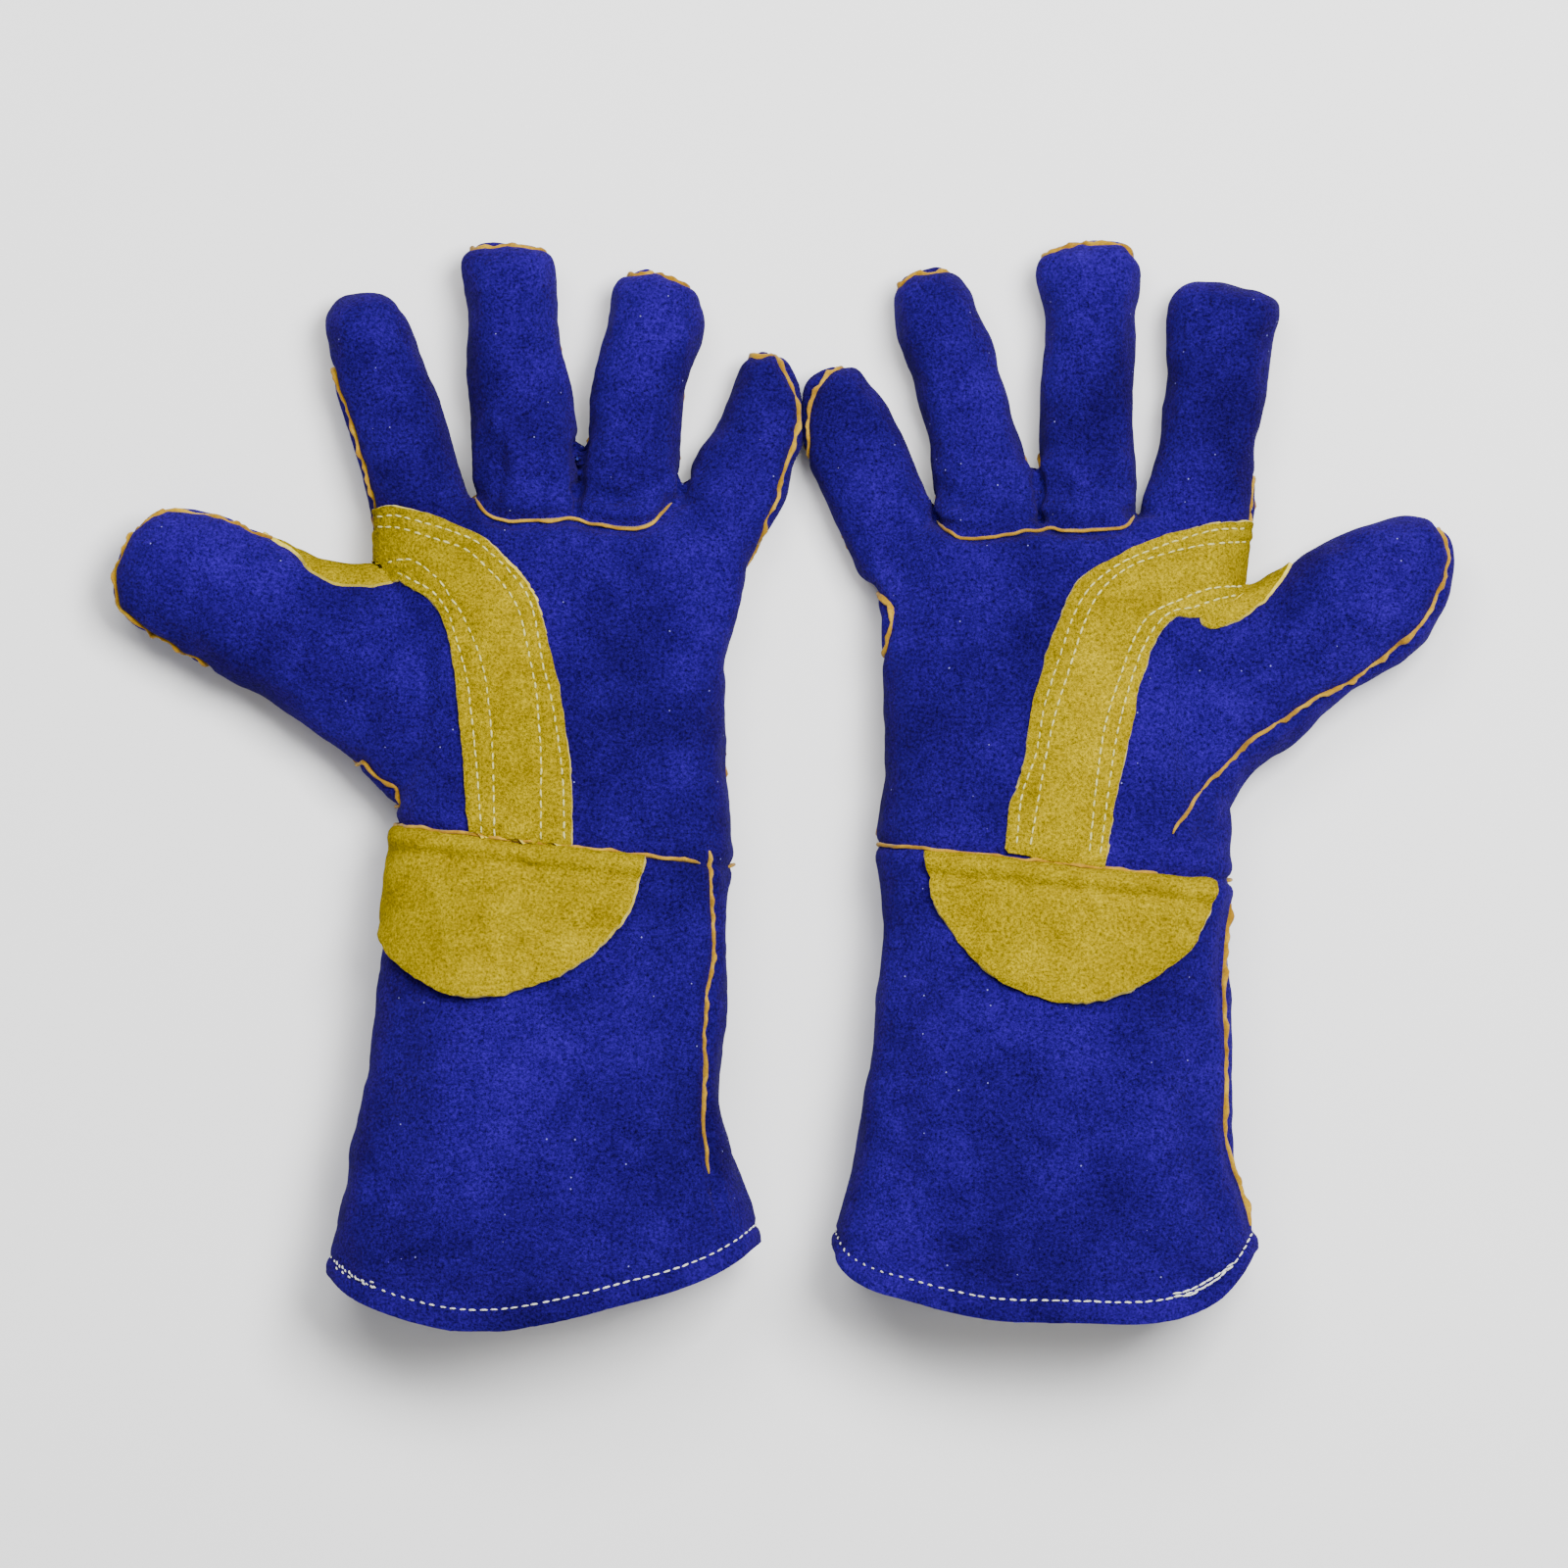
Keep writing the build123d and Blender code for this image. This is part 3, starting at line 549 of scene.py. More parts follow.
# ---- the skin of a glove: one closed surface, later divided into panels --------------------------
def tube(left, right, depth, middle, rings, around, cap, power):
    """A closed tube between two edges: depth gives half its thickness, middle the height of its axis."""
    u = np.linspace(0, 1, rings)
    share = 1 - (1 - u) ** 1.5 if cap else u
    a, b = smooth_line(left, 400), smooth_line(right, 400)
    if cap:
        apex = (a[-1] + b[-1]) / 2
        apex = apex + (a[-1] - a[-12] + b[-1] - b[-12]) * 0.02
        a, b = resample(np.vstack([a, apex]), 400), resample(np.vstack([b, apex]), 400)
    pick = np.clip((share * 399).astype(int), 0, 399)
    a, b = a[pick], b[pick]
    angles = np.linspace(0, 2 * math.pi, around, endpoint=False)
    c, s = np.cos(angles), np.sin(angles)
    ex = 2.0 / power
    c, s = np.sign(c) * np.abs(c) ** ex, np.sign(s) * np.abs(s) ** ex
    verts, faces = [], []
    last = rings - 1 if cap else rings
    for k in range(last):
        centre, half = (a[k] + b[k]) / 2, (b[k] - a[k]) / 2
        thick = depth(centre, share[k])
        z = middle(centre, share[k])
        if cap:
            e = min(np.linalg.norm(centre - a[-1]) / cap, 1.0)
            thick *= math.sqrt(max(1 - (1 - e) ** 2, 0.0004))
        for i in range(around):
            x, y = centre + half * c[i]
            verts.append((x, y, z + thick * s[i]))
    for k in range(last - 1):
        for i in range(around):
            j = (i + 1) % around
            faces.append((k * around + i, k * around + j, (k + 1) * around + j, (k + 1) * around + i))
    for k, flip in ((0, False), (last - 1, True)):
        ring = list(range(k * around, (k + 1) * around))
        at = len(verts)
        centre = np.mean([verts[i] for i in ring], axis=0)
        if k and cap:
            centre = np.array([*a[-1], middle(a[-1], 1.0)])
        verts.append(tuple(centre))
        for i in range(around):
            pair = (ring[i], ring[(i + 1) % around])
            faces.append((pair[1], pair[0], at) if not flip else (pair[0], pair[1], at))
    return verts, faces


def body_half_depth(y):
    return float(np.interp(y, BODY_Y, BODY_HALF_DEPTH))


def build_skin(outlines, name):
    """Union of body, fingers and thumb, remeshed evenly and smoothed."""
    parts = []
    left, right = smooth_line(outlines["left_edge"], 300), smooth_line(outlines["right_edge"], 300)
    depth = lambda c, s: body_half_depth(c[1])
    parts.append(tube(left, right, depth, lambda c, s: body_half_depth(c[1]) + 0.2, 90, 96, 0, 2.35))
    for finger, (a, b) in outlines["fingers"].items():
        base, tip = FINGER_HALF_DEPTH[finger]
        half = lambda c, s, base=base, tip=tip: base + (tip - base) * s
        height = (lambda c, s: 19.0) if finger == "thumb" else (lambda c, s, half=half: half(c, s) + 0.3)
        parts.append(tube(a, b[::-1], half, height, 64, 44, 1.25 * tip, 2.15))
    verts, faces = [], []
    for v, f in parts:
        n = len(verts)
        verts += v
        faces += [tuple(i + n for i in face) for face in f]
    mesh = bpy.data.meshes.new(name + "_raw")
    mesh.from_pydata([tuple(c * MM for c in v) for v in verts], [], faces)
    obj = bpy.data.objects.new(name + "_raw", mesh)
    bpy.context.scene.collection.objects.link(obj)
    bm = bmesh.new()
    bm.from_mesh(mesh)
    bmesh.ops.recalc_face_normals(bm, faces=bm.faces)
    bm.to_mesh(mesh)
    bm.free()
    remesh = obj.modifiers.new("even", "REMESH")
    remesh.mode = "VOXEL"
    remesh.voxel_size = VOXEL * MM
    smooth = obj.modifiers.new("smooth", "SMOOTH")
    smooth.factor = 0.5
    smooth.iterations = SMOOTHING
    ready = obj.evaluated_get(bpy.context.evaluated_depsgraph_get())
    made = bpy.data.meshes.new_from_object(ready)
    co = np.empty(len(made.vertices) * 3)
    made.vertices.foreach_get("co", co)
    co = co.reshape(-1, 3) / MM
    faces = [tuple(p.vertices) for p in made.polygons]
    bpy.data.objects.remove(obj)
    bpy.data.meshes.remove(mesh)
    bpy.data.meshes.remove(made)
    return co, faces


def normals_of(co, faces):
    n = np.zeros_like(co)
    groups = {}
    for f in faces:
        groups.setdefault(len(f), []).append(f)
    for size, group in groups.items():
        f = np.array(group)
        p = co[f]
        if size == 3:
            fn = np.cross(p[:, 1] - p[:, 0], p[:, 2] - p[:, 0])
        elif size == 4:
            fn = np.cross(p[:, 2] - p[:, 0], p[:, 3] - p[:, 1])
        else:
            fn = np.zeros((len(f), 3))
            for k in range(1, size - 1):
                fn += np.cross(p[:, k] - p[:, 0], p[:, k + 1] - p[:, 0])
        for k in range(size):
            np.add.at(n, f[:, k], fn)
    return n / np.maximum(np.linalg.norm(n, axis=1, keepdims=True), 1e-12)


class Skin:
    """A surface with numbers at its vertices, which can be divided where one of them is zero."""

    def __init__(self, co, faces, fields):
        self.co, self.faces, self.fields = co, list(faces), dict(fields)
        self.sides = [()] * len(self.faces)

    def divide(self, name, snap=0.12):
        """Split the faces at the zero line of a field. Every face gets a further +1 or -1 for it."""
        v = self.fields[name].copy()
        v[np.abs(v) < snap] = 0
        values = v.tolist()
        faces, sides, made, cuts = [], [], {}, []
        count = len(self.co)
        for face, side in zip(self.faces, self.sides):
            signs = [values[i] for i in face]
            low, high = min(signs), max(signs)
            if low >= 0 or high <= 0:
                faces.append(face)
                sides.append(side + ((1 if high > 0 else -1),))
                continue
            plus, minus = [], []
            for i, j in zip(face, face[1:] + face[:1]):
                a, b = values[i], values[j]
                if a >= 0:
                    plus.append(i)
                if a <= 0:
                    minus.append(i)
                if a * b < 0:
                    key = (i, j) if i < j else (j, i)
                    if key not in made:
                        made[key] = count + len(cuts)
                        cuts.append((i, j, a / (a - b)))
                    plus.append(made[key])
                    minus.append(made[key])
            for ring, way in ((plus, 1), (minus, -1)):
                if len(ring) > 2:
                    faces.append(tuple(ring))
                    sides.append(side + (way,))
        if cuts:
            i, j, t = (np.array(x) for x in zip(*cuts))
            t = t[:, None]
            self.co = np.vstack([self.co, self.co[i] * (1 - t) + self.co[j] * t])
            for key, f in self.fields.items():
                w = t if f.ndim == 2 else t[:, 0]
                self.fields[key] = np.concatenate([f, f[i] * (1 - w) + f[j] * w])
        self.faces, self.sides = faces, sides

    def keep(self, wanted):
        """Drop the faces whose sides aren't wanted."""
        pairs = [(face, side) for face, side in zip(self.faces, self.sides) if wanted(side)]
        self.faces, self.sides = [face for face, _ in pairs], [side for _, side in pairs]


def boundary(faces):
    """The edges that belong to one face only, each in its face's direction."""
    edges = {}
    for face in faces:
        for i, j in zip(face, face[1:] + face[:1]):
            key = (i, j) if i < j else (j, i)
            edges[key] = None if key in edges else (i, j)
    return [e for e in edges.values() if e is not None]


def chains(edges):
    """Edges joined end to end, as lists of vertices."""
    after = {}
    for i, j in edges:
        after.setdefault(i, []).append(j)
        after.setdefault(j, []).append(i)
    used, lines = set(), []
    ends = [i for i, n in after.items() if len(n) != 2]
    for start in ends + list(after):
        for step in after[start]:
            key = frozenset((start, step))
            if key in used:
                continue
            line, here, there = [start], start, step
            while True:
                used.add(frozenset((here, there)))
                line.append(there)
                options = [k for k in after[there] if frozenset((there, k)) not in used]
                if len(after[there]) != 2 or not options:
                    break
                here, there = there, options[0]
            lines.append(line)
    return lines


# ---- pieces --------------------------------------------------------------------------------------
def new_piece(name, verts, faces, materials, loops=None, slots=None):
    mesh = bpy.data.meshes.new(name)
    verts = np.array(verts, float)
    verts[:, 2] = np.maximum(verts[:, 2], LOWEST)
    mesh.from_pydata((verts * MM).tolist(), [], faces)
    for material in materials:
        mesh.materials.append(material)
    mesh.polygons.foreach_set("use_smooth", [True] * len(mesh.polygons))
    if slots is not None:
        mesh.polygons.foreach_set("material_index", slots)
    if loops is not None:
        mesh.normals_split_custom_set(loops)
    mesh.update()
    obj = bpy.data.objects.new(name, mesh)
    bpy.context.scene.collection.objects.link(obj)
    return obj


def panel(name, co, normals, faces, thickness, materials, outward=0.0, wall=None, bevel=0.0):
    """A leather panel: the given faces as its outer side, an inner side, and its cut edge between them.
    Where wall is a number, the panel's edge is folded to that height: the flat flank of a pressed finger."""
    used = sorted({i for f in faces for i in f})
    index = {i: k for k, i in enumerate(used)}
    outer = co[used] + normals[used] * outward
    n = normals[used]
    count = len(used)
    inner = outer - n * thickness
    top = [tuple(index[i] for i in f) for f in faces]
    if bevel:
        out = np.zeros_like(outer)
        for i, j in boundary(top):
            way = np.cross(outer[j] - outer[i], n[i])
            out[i] += way
            out[j] += way
        inner += bevel * out / np.maximum(np.linalg.norm(out, axis=1, keepdims=True), 1e-6)
    verts = np.vstack([outer, inner])
    bottom = [tuple(i + count for i in reversed(f)) for f in top]
    rim, flank, folded = [], [], {}
    for i, j in boundary(top):
        rim.append((j, i, i + count, j + count))
        if wall is not None and not np.isnan(wall[used[i]] + wall[used[j]]):
            for k in (i, j):
                if k not in folded:
                    folded[k] = len(verts) + len(folded)
            flank.append((j, i, folded[i], folded[j]))
    if folded:
        low = [(outer[k][0], outer[k][1], wall[used[k]]) for k in folded]
        verts = np.vstack([verts, low])
    every = top + bottom + rim + flank
    loops = [tuple(n[i]) for f in top for i in f] + [tuple(-n[i - count]) for f in bottom for i in f]
    for f in rim + flank:
        p = verts[list(f)]
        fn = np.cross(p[2] - p[0], p[3] - p[1])
        fn = tuple(fn / max(np.linalg.norm(fn), 1e-9))
        loops += [fn] * 4
    edge_slot, inner_slot = min(1, len(materials) - 1), min(2, len(materials) - 1)
    slots = [0] * len(top) + [inner_slot] * len(bottom) + [edge_slot] * len(rim) + [0] * len(flank)
    return new_piece(name, verts, every, materials, loops, slots)


def tree_of(co, faces):
    return BVHTree.FromPolygons([tuple(c) for c in co], faces)


def drape(tree, xy):
    """Where points of the plan fall on a surface from above, with its normals there."""
    places, normals = [], []
    for x, y in xy:
        hit, normal, _, _ = tree.ray_cast(Vector((x, y, 200)), Vector((0, 0, -1)))
        if hit is not None:
            places.append(tuple(hit))
            normals.append(tuple(normal))
    return np.array(places), np.array(normals)


def even_out(line, times):
    for _ in range(times):
        mid = line[1:-1] * 0.5 + (line[:-2] + line[2:]) * 0.25
        line = np.vstack([line[:1], mid, line[-1:]])
    return line


def sweep(line, normals, profile, seed, wobble=(0.2, 0.38), closed=False, ends=True):
    """A strip along a line, with a profile across and along the normals, and as uneven as wobble."""
    tangent = np.gradient(line, axis=0)
    tangent /= np.maximum(np.linalg.norm(tangent, axis=1, keepdims=True), 1e-9)
    normals = normals - (normals * tangent).sum(axis=1, keepdims=True) * tangent
    normals /= np.maximum(np.linalg.norm(normals, axis=1, keepdims=True), 1e-9)
    across = np.cross(tangent, normals)
    sideways, height = Noise(seed, 9.0), Noise(seed + 1, 5.0)
    profile = np.array(profile, float)
    count, size = len(line), len(profile)
    shift = sideways(line)[:, None] * wobble[0]
    lift = height(line) * wobble[1]
    verts = []
    for k in range(count):
        taper = 1.0
        if ends and not closed:
            taper = min(1.0, 0.45 + 0.25 * min(k, count - 1 - k))
        for u, v in profile:
            up = (v + lift[k]) * taper if v > 0 else v
            verts.append(line[k] + across[k] * (u * taper + shift[k]) + normals[k] * up)
    faces = []
    turns = count if closed else count - 1
    for k in range(turns):
        m = (k + 1) % count
        for i in range(size):
            j = (i + 1) % size
            faces.append((k * size + i, m * size + i, m * size + j, k * size + j))
    if not closed:
        faces.append(tuple(range(size)))
        faces.append(tuple(reversed(range((count - 1) * size, count * size))))
    return np.array(verts), faces


def joined(parts):
    verts, faces, n = [], [], 0
    for v, f in parts:
        verts.append(np.asarray(v))
        faces += [tuple(i + n for i in face) for face in f]
        n += len(v)
    return np.vstack(verts), faces


def stitch(place, normal, along, length, width, height):
    """One stitch: a short rounded thread that dips into the leather at both ends."""
    along = along - (along @ normal) * normal
    along /= max(np.linalg.norm(along), 1e-9)
    across = np.cross(normal, along)
    rings, size = 7, 6
    verts, faces = [], []
    for k in range(rings):
        t = -1 + 2 * k / (rings - 1)
        girth = math.sqrt(max(1 - (abs(t) ** 3), 0.05))
        centre = place + along * (t * length / 2) + normal * (height * (1 - 1.5 * t * t))
        for i in range(size):
            a = 2 * math.pi * i / size
            sideways, up = math.cos(a) * width / 2, math.sin(a) * width / 2.3
            verts.append(centre + across * (sideways * girth) + normal * (up * girth))
    for k in range(rings - 1):
        for i in range(size):
            j = (i + 1) % size
            faces.append((k * size + i, k * size + j, (k + 1) * size + j, (k + 1) * size + i))
    faces.append(tuple(reversed(range(size))))
    faces.append(tuple(range((rings - 1) * size, rings * size)))
    return verts, faces


def stitches(line, normals, rng, pitch, length, width, height):
    """A row of stitches along a line on a surface."""
    total = length_of(line)
    count = max(int(total / pitch), 1)
    at = np.concatenate([[0], np.cumsum(np.linalg.norm(np.diff(line, axis=0), axis=1))])

    def value(of, where):
        return np.array([np.interp(where, at, of[:, c]) for c in range(3)])

    parts = []
    for k in range(count):
        middle = (k + 0.5) * total / count + rng.uniform(-0.25, 0.25)
        n = value(normals, middle)
        n /= np.linalg.norm(n)
        along = value(line, middle + 2.0) - value(line, middle - 2.0)
        turn = rng.uniform(-0.1, 0.1)
        along = along + np.cross(n, along) * turn
        long = length * rng.uniform(0.85, 1.1)
        parts.append(stitch(value(line, middle), n, along, long, width * rng.uniform(0.85, 1.1), height))
    return parts


# ---- materials -----------------------------------------------------------------------------------
class Nodes:
    """A small helper to wire a material."""

    def __init__(self, name):
        self.material = bpy.data.materials.new(name)
        self.material.use_nodes = True
        self.tree = self.material.node_tree
        self.tree.nodes.clear()
        self.out = self.add("ShaderNodeOutputMaterial")
        self.shader = self.add("ShaderNodeBsdfPrincipled")
        self.link(self.shader.outputs[0], self.out.inputs["Surface"])
        self.where = self.add("ShaderNodeTexCoord").outputs["Object"]

    def add(self, kind, **values):
        node = self.tree.nodes.new(kind)
        for key, value in values.items():
            setattr(node, key, value)
        return node

    def link(self, a, b):
        self.tree.links.new(a, b)

    def noise(self, scale, detail=4.0, rough=0.55, distortion=0.0, where=None):
        node = self.add("ShaderNodeTexNoise")
        node.inputs["Scale"].default_value = scale
        node.inputs["Detail"].default_value = detail
        node.inputs["Roughness"].default_value = rough
        node.inputs["Distortion"].default_value = distortion
        self.link(where or self.where, node.inputs["Vector"])
        return node.outputs["Fac"]

    def ramp(self, value, stops):
        node = self.add("ShaderNodeValToRGB")
        elements = node.color_ramp.elements
        while len(elements) < len(stops):
            elements.new(0.5)
        for element, (at, colour) in zip(elements, stops):
            element.position = at
            element.color = (*colour, 1) if hasattr(colour, "__len__") else (colour, colour, colour, 1)
        self.link(value, node.inputs["Fac"])
        return node.outputs["Color"]

    def mix(self, share, a, b, blend="MIX"):
        node = self.add("ShaderNodeMix", data_type="RGBA", blend_type=blend)
        for socket, value in ((node.inputs[0], share), (node.inputs[6], a), (node.inputs[7], b)):
            if isinstance(value, bpy.types.NodeSocket):
                self.link(value, socket)
            elif hasattr(value, "__len__"):
                socket.default_value = (*value, 1)
            else:
                socket.default_value = value
        return node.outputs[2]

    def math(self, kind, a, b=0.0):
        node = self.add("ShaderNodeMath", operation=kind)
        for socket, value in zip(node.inputs, (a, b)):
            if isinstance(value, bpy.types.NodeSocket):
                self.link(value, socket)
            else:
                socket.default_value = value
        return node.outputs[0]

    def bump(self, height, distance, strength=1.0, under=None):
        node = self.add("ShaderNodeBump")
        node.inputs["Strength"].default_value = strength
        node.inputs["Distance"].default_value = distance
        self.link(height, node.inputs["Height"])
        if under is not None:
            self.link(under, node.inputs["Normal"])
        return node.outputs["Normal"]


def suede(name, dark, base, light, depth, nap, relief=1.0, lint=0.0, sheen=0.0, sheen_tint=(1, 1, 1)):
    """Split leather with a brushed nap: patches where the nap lies differently, broad painted shade that is
    partly the nap's own tone, fine fibres, a few specks.
    """
    m = Nodes(name)
    broad = m.noise(17, 3, 0.5, 0.4)
    patches = m.noise(95, 5, 0.6, 0.6)
    fibres = m.noise(1050, 3, 0.78)
    grain = m.noise(3000, 2, 0.6)
    tone = m.ramp(patches, [(0.3, dark), (0.5, base), (0.72, light)])
    # broad painted shade: large areas darkened and lightened at random, standing in for uneven light, partly
    # the nap's own tone
    painted_shade = m.ramp(broad, [(0.32, 1 - depth), (0.68, 1 + 0.8 * depth)])
    tone = m.mix(1.0, tone, painted_shade, "MULTIPLY")
    speck = m.ramp(fibres, [(0.3, 1 - nap), (0.5, 1.0), (0.7, 1 + 1.2 * nap)])
    tone = m.mix(1.0, tone, speck, "MULTIPLY")
    if lint:
        cells = m.add("ShaderNodeTexVoronoi")
        cells.inputs["Scale"].default_value = 230
        m.link(m.where, cells.inputs["Vector"])
        near = m.math("LESS_THAN", cells.outputs["Distance"], 0.06)
        chosen = m.math("GREATER_THAN", m.noise(60, 2, 0.5), 0.5)
        some = m.add("ShaderNodeSeparateColor")
        m.link(cells.outputs["Color"], some.inputs[0])
        picked = m.math("LESS_THAN", some.outputs[0], lint)
        share = m.math("MULTIPLY", m.math("MULTIPLY", near, chosen), picked)
        tone = m.mix(m.math("MULTIPLY", share, 0.6), tone, (0.3, 0.32, 0.75))
    m.link(tone, m.shader.inputs["Base Color"])
    rough = m.ramp(patches, [(0.3, 0.94), (0.7, 0.84)])
    m.link(rough, m.shader.inputs["Roughness"])
    m.shader.inputs["Specular IOR Level"].default_value = 0.02
    m.shader.inputs["Sheen Weight"].default_value = sheen
    m.shader.inputs["Sheen Roughness"].default_value = 0.45
    m.shader.inputs["Sheen Tint"].default_value = (*sheen_tint, 1)
    low = m.bump(patches, 0.0009 * relief, 0.6)
    mid = m.bump(fibres, 0.0007 * relief, 0.9, low)
    fine = m.bump(grain, 0.00016 * relief, 0.8, mid)
    m.link(fine, m.shader.inputs["Normal"])
    return m.material


def raw_edge(name, dark, base, light):
    """The cut edge of leather, or a welt: paler, fibrous, stained in places."""
    m = Nodes(name)
    stain = m.noise(120, 4, 0.6)
    fibre = m.noise(1500, 3, 0.7)
    tone = m.ramp(stain, [(0.32, dark), (0.5, base), (0.68, light)])
    tone = m.mix(1.0, tone, m.ramp(fibre, [(0.3, 0.75), (0.7, 1.2)]), "MULTIPLY")
    m.link(tone, m.shader.inputs["Base Color"])
    m.shader.inputs["Roughness"].default_value = 0.85
    m.shader.inputs["Specular IOR Level"].default_value = 0.2
    m.shader.inputs["Sheen Weight"].default_value = 0.15
    m.link(m.bump(fibre, 0.0003, 0.8), m.shader.inputs["Normal"])
    return m.material


def thread(name, base, light):
    """Twisted thread: slanting strands."""
    m = Nodes(name)
    stain = m.noise(300, 3, 0.6)
    wave = m.add("ShaderNodeTexWave", wave_type="BANDS", bands_direction="DIAGONAL")
    wave.inputs["Scale"].default_value = 520
    wave.inputs["Distortion"].default_value = 1.5
    m.link(m.where, wave.inputs["Vector"])
    tone = m.ramp(stain, [(0.3, base), (0.7, light)])
    strands = m.ramp(wave.outputs["Fac"], [(0, 0.82), (1, 1.0)])
    m.link(m.mix(1.0, tone, strands, "MULTIPLY"), m.shader.inputs["Base Color"])
    m.shader.inputs["Roughness"].default_value = 0.7
    m.shader.inputs["Specular IOR Level"].default_value = 0.3
    m.shader.inputs["Sheen Weight"].default_value = 0.2
    m.link(m.bump(wave.outputs["Fac"], 0.00012, 0.7), m.shader.inputs["Normal"])
    return m.material


def fleece(name, base, light):
    """Cotton lining: a soft knitted nap."""
    m = Nodes(name)
    soft = m.noise(160, 4, 0.6)
    knit = m.add("ShaderNodeTexVoronoi")
    knit.inputs["Scale"].default_value = 900
    m.link(m.where, knit.inputs["Vector"])
    m.link(m.ramp(soft, [(0.3, base), (0.7, light)]), m.shader.inputs["Base Color"])
    m.shader.inputs["Roughness"].default_value = 0.95
    m.shader.inputs["Sheen Weight"].default_value = 0.3
    low = m.bump(soft, 0.0006, 0.6)
    m.link(m.bump(knit.outputs["Distance"], 0.0004, 0.7, low), m.shader.inputs["Normal"])
    return m.material


# depth sets how strongly the broad painted shade darkens and lightens large areas of each suede
BLUE = suede(
    "blue_suede", (0.0085, 0.0004, 0.084), (0.0105, 0.0006, 0.102), (0.0135, 0.0012, 0.128),
    depth=0.42, nap=0.85, lint=0.5, sheen=0.05, sheen_tint=(0.4, 0.3, 1.0),
)
YELLOW = suede(
    "yellow_suede", (0.225, 0.158, 0.0), (0.285, 0.206, 0.0), (0.335, 0.248, 0.0),
    depth=0.16, nap=0.62, relief=1.5, sheen_tint=(1.0, 0.85, 0.2),
)
YELLOW_EDGE = raw_edge("yellow_cut_edge", (0.50, 0.38, 0.01), (0.62, 0.48, 0.03), (0.72, 0.60, 0.10))
BLUE_EDGE = raw_edge("blue_cut_edge", (0.01, 0.012, 0.16), (0.02, 0.025, 0.3), (0.05, 0.06, 0.45))
WELT = raw_edge("welt_leather", (0.19, 0.085, 0.0), (0.33, 0.17, 0.0), (0.48, 0.29, 0.012))
THREAD = thread("cream_thread", (0.50, 0.45, 0.09), (0.68, 0.63, 0.20))
HEM_THREAD = thread("hem_thread", (0.66, 0.68, 0.60), (0.84, 0.85, 0.78))
LINING = fleece("lining_fleece", (0.50, 0.47, 0.40), (0.66, 0.63, 0.56))


# ---- one glove -----------------------------------------------------------------------------------
def hinge(name):
    """A hinge's point in mm, and the way in the plan that the body on it points."""
    joint = next(j for j in frame["record"]["behaviour"]["joints"] if j["name"] == name)
    axis = joint["axis"]
    return np.array(joint["pos_m"]) / MM, np.array([-axis[1], axis[0]])


def glove_fields(side, outlines, co):
    """Every dividing line of the glove's surface, in mm at each vertex."""
    xy = co[:, :2]
    fields = {}
    point, ahead = hinge(f"{side}_wrist_flex")
    fields["wrist"] = (xy - point[:2]) @ ahead
    hem = smooth_line(outlines["hem"], 160)
    fields["hem"] = co[:, 1] - np.interp(co[:, 0], hem[:, 0], hem[:, 1])
    within = {}
    for finger in FINGERS:
        a, b = outlines["fingers"][finger]
        within[finger] = inside(xy, np.vstack([smooth_line(a, 50), smooth_line(b, 50)]))
    for finger in FINGERS:
        point, ahead = hinge(f"{side}_{finger}_flex")
        nearest = np.max([within[other] for other in FINGERS if other != finger], axis=0)
        beyond = (xy - point[:2]) @ ahead - CUTS[side][finger]
        fields[finger] = np.minimum(beyond, (within[finger] - nearest) / 2)
        fields["base"] = np.maximum(fields.get("base", beyond), beyond)
    ranked = np.sort([within[finger] for finger in FINGERS], axis=0)
    fields["between"] = (ranked[-1] - ranked[-2]) / 2
    fields["pressed"] = ranked[-2]
    point, _ = hinge(f"{side}_thumb_flex")
    out = (co[:, 0] - point[0]) * OUT[side]
    low, high, crotch = THUMB_SPAN[side]
    top = high + 2.6 * np.maximum(out - crotch, 0)
    fields["thumb"] = np.minimum(np.minimum(out, top - co[:, 1]), co[:, 1] - low)
    # palm from back: at the side seam, or where a seam comes round to the palm side
    centres = []
    for finger, (a, b) in outlines["fingers"].items():
        a, b = smooth_line(a, 30), smooth_line(b[::-1], 30)
        base, tip = FINGER_HALF_DEPTH[finger]
        for k in range(30):
            z = 19.0 if finger == "thumb" else base + (tip - base) * k / 29 + 0.3
            centres.append((*(a[k] + b[k]) / 2, z))
    left, right = smooth_line(outlines["left_edge"], 60), smooth_line(outlines["right_edge"], 60)
    for k in range(60):
        for share in (0.15, 0.5, 0.85):
            x, y = left[k] * share + right[k] * (1 - share)
            centres.append((x, y, body_half_depth(y)))
    centres = np.array(centres)
    weight = 1 / (((xy[:, None, :] - centres[None, :, :2]) ** 2).sum(axis=2) + 9) ** 2
    middle = (weight @ centres[:, 2]) / weight.sum(axis=1)
    near_tip = np.zeros(len(co))
    for x, y, radius in outlines["tips"]:
        d = np.linalg.norm(xy - (x, y), axis=1)
        near_tip = np.maximum(near_tip, np.exp(-((d / (1.6 * radius)) ** 4)))
    fields["front"] = co[:, 2] - (middle - SEAM_DIP * (1 - TIP_RISE * near_tip))
    for line, far in outlines["wraps"]:
        outline = np.vstack([smooth_line(line, 60), np.array(far, float)])
        fields["front"] = np.minimum(fields["front"], -inside(xy, outline))
    fields["level"] = middle
    return fields


def groove(distance, depth, width):
    return -depth * np.exp(-((distance / width) ** 2))


def distances_to(points, co):
    """How far each place is from the nearest of some points."""
    tree = KDTree(len(points))
    for k, p in enumerate(points):
        tree.insert(p, k)
    tree.balance()
    return np.array([tree.find(c)[2] for c in co])


def flat(xy):
    """Points of the plan, with a third coordinate of zero."""
    return np.column_stack([xy, np.zeros(len(xy))])


def plan_distances(line, xy):
    return distances_to(flat(line), flat(xy))


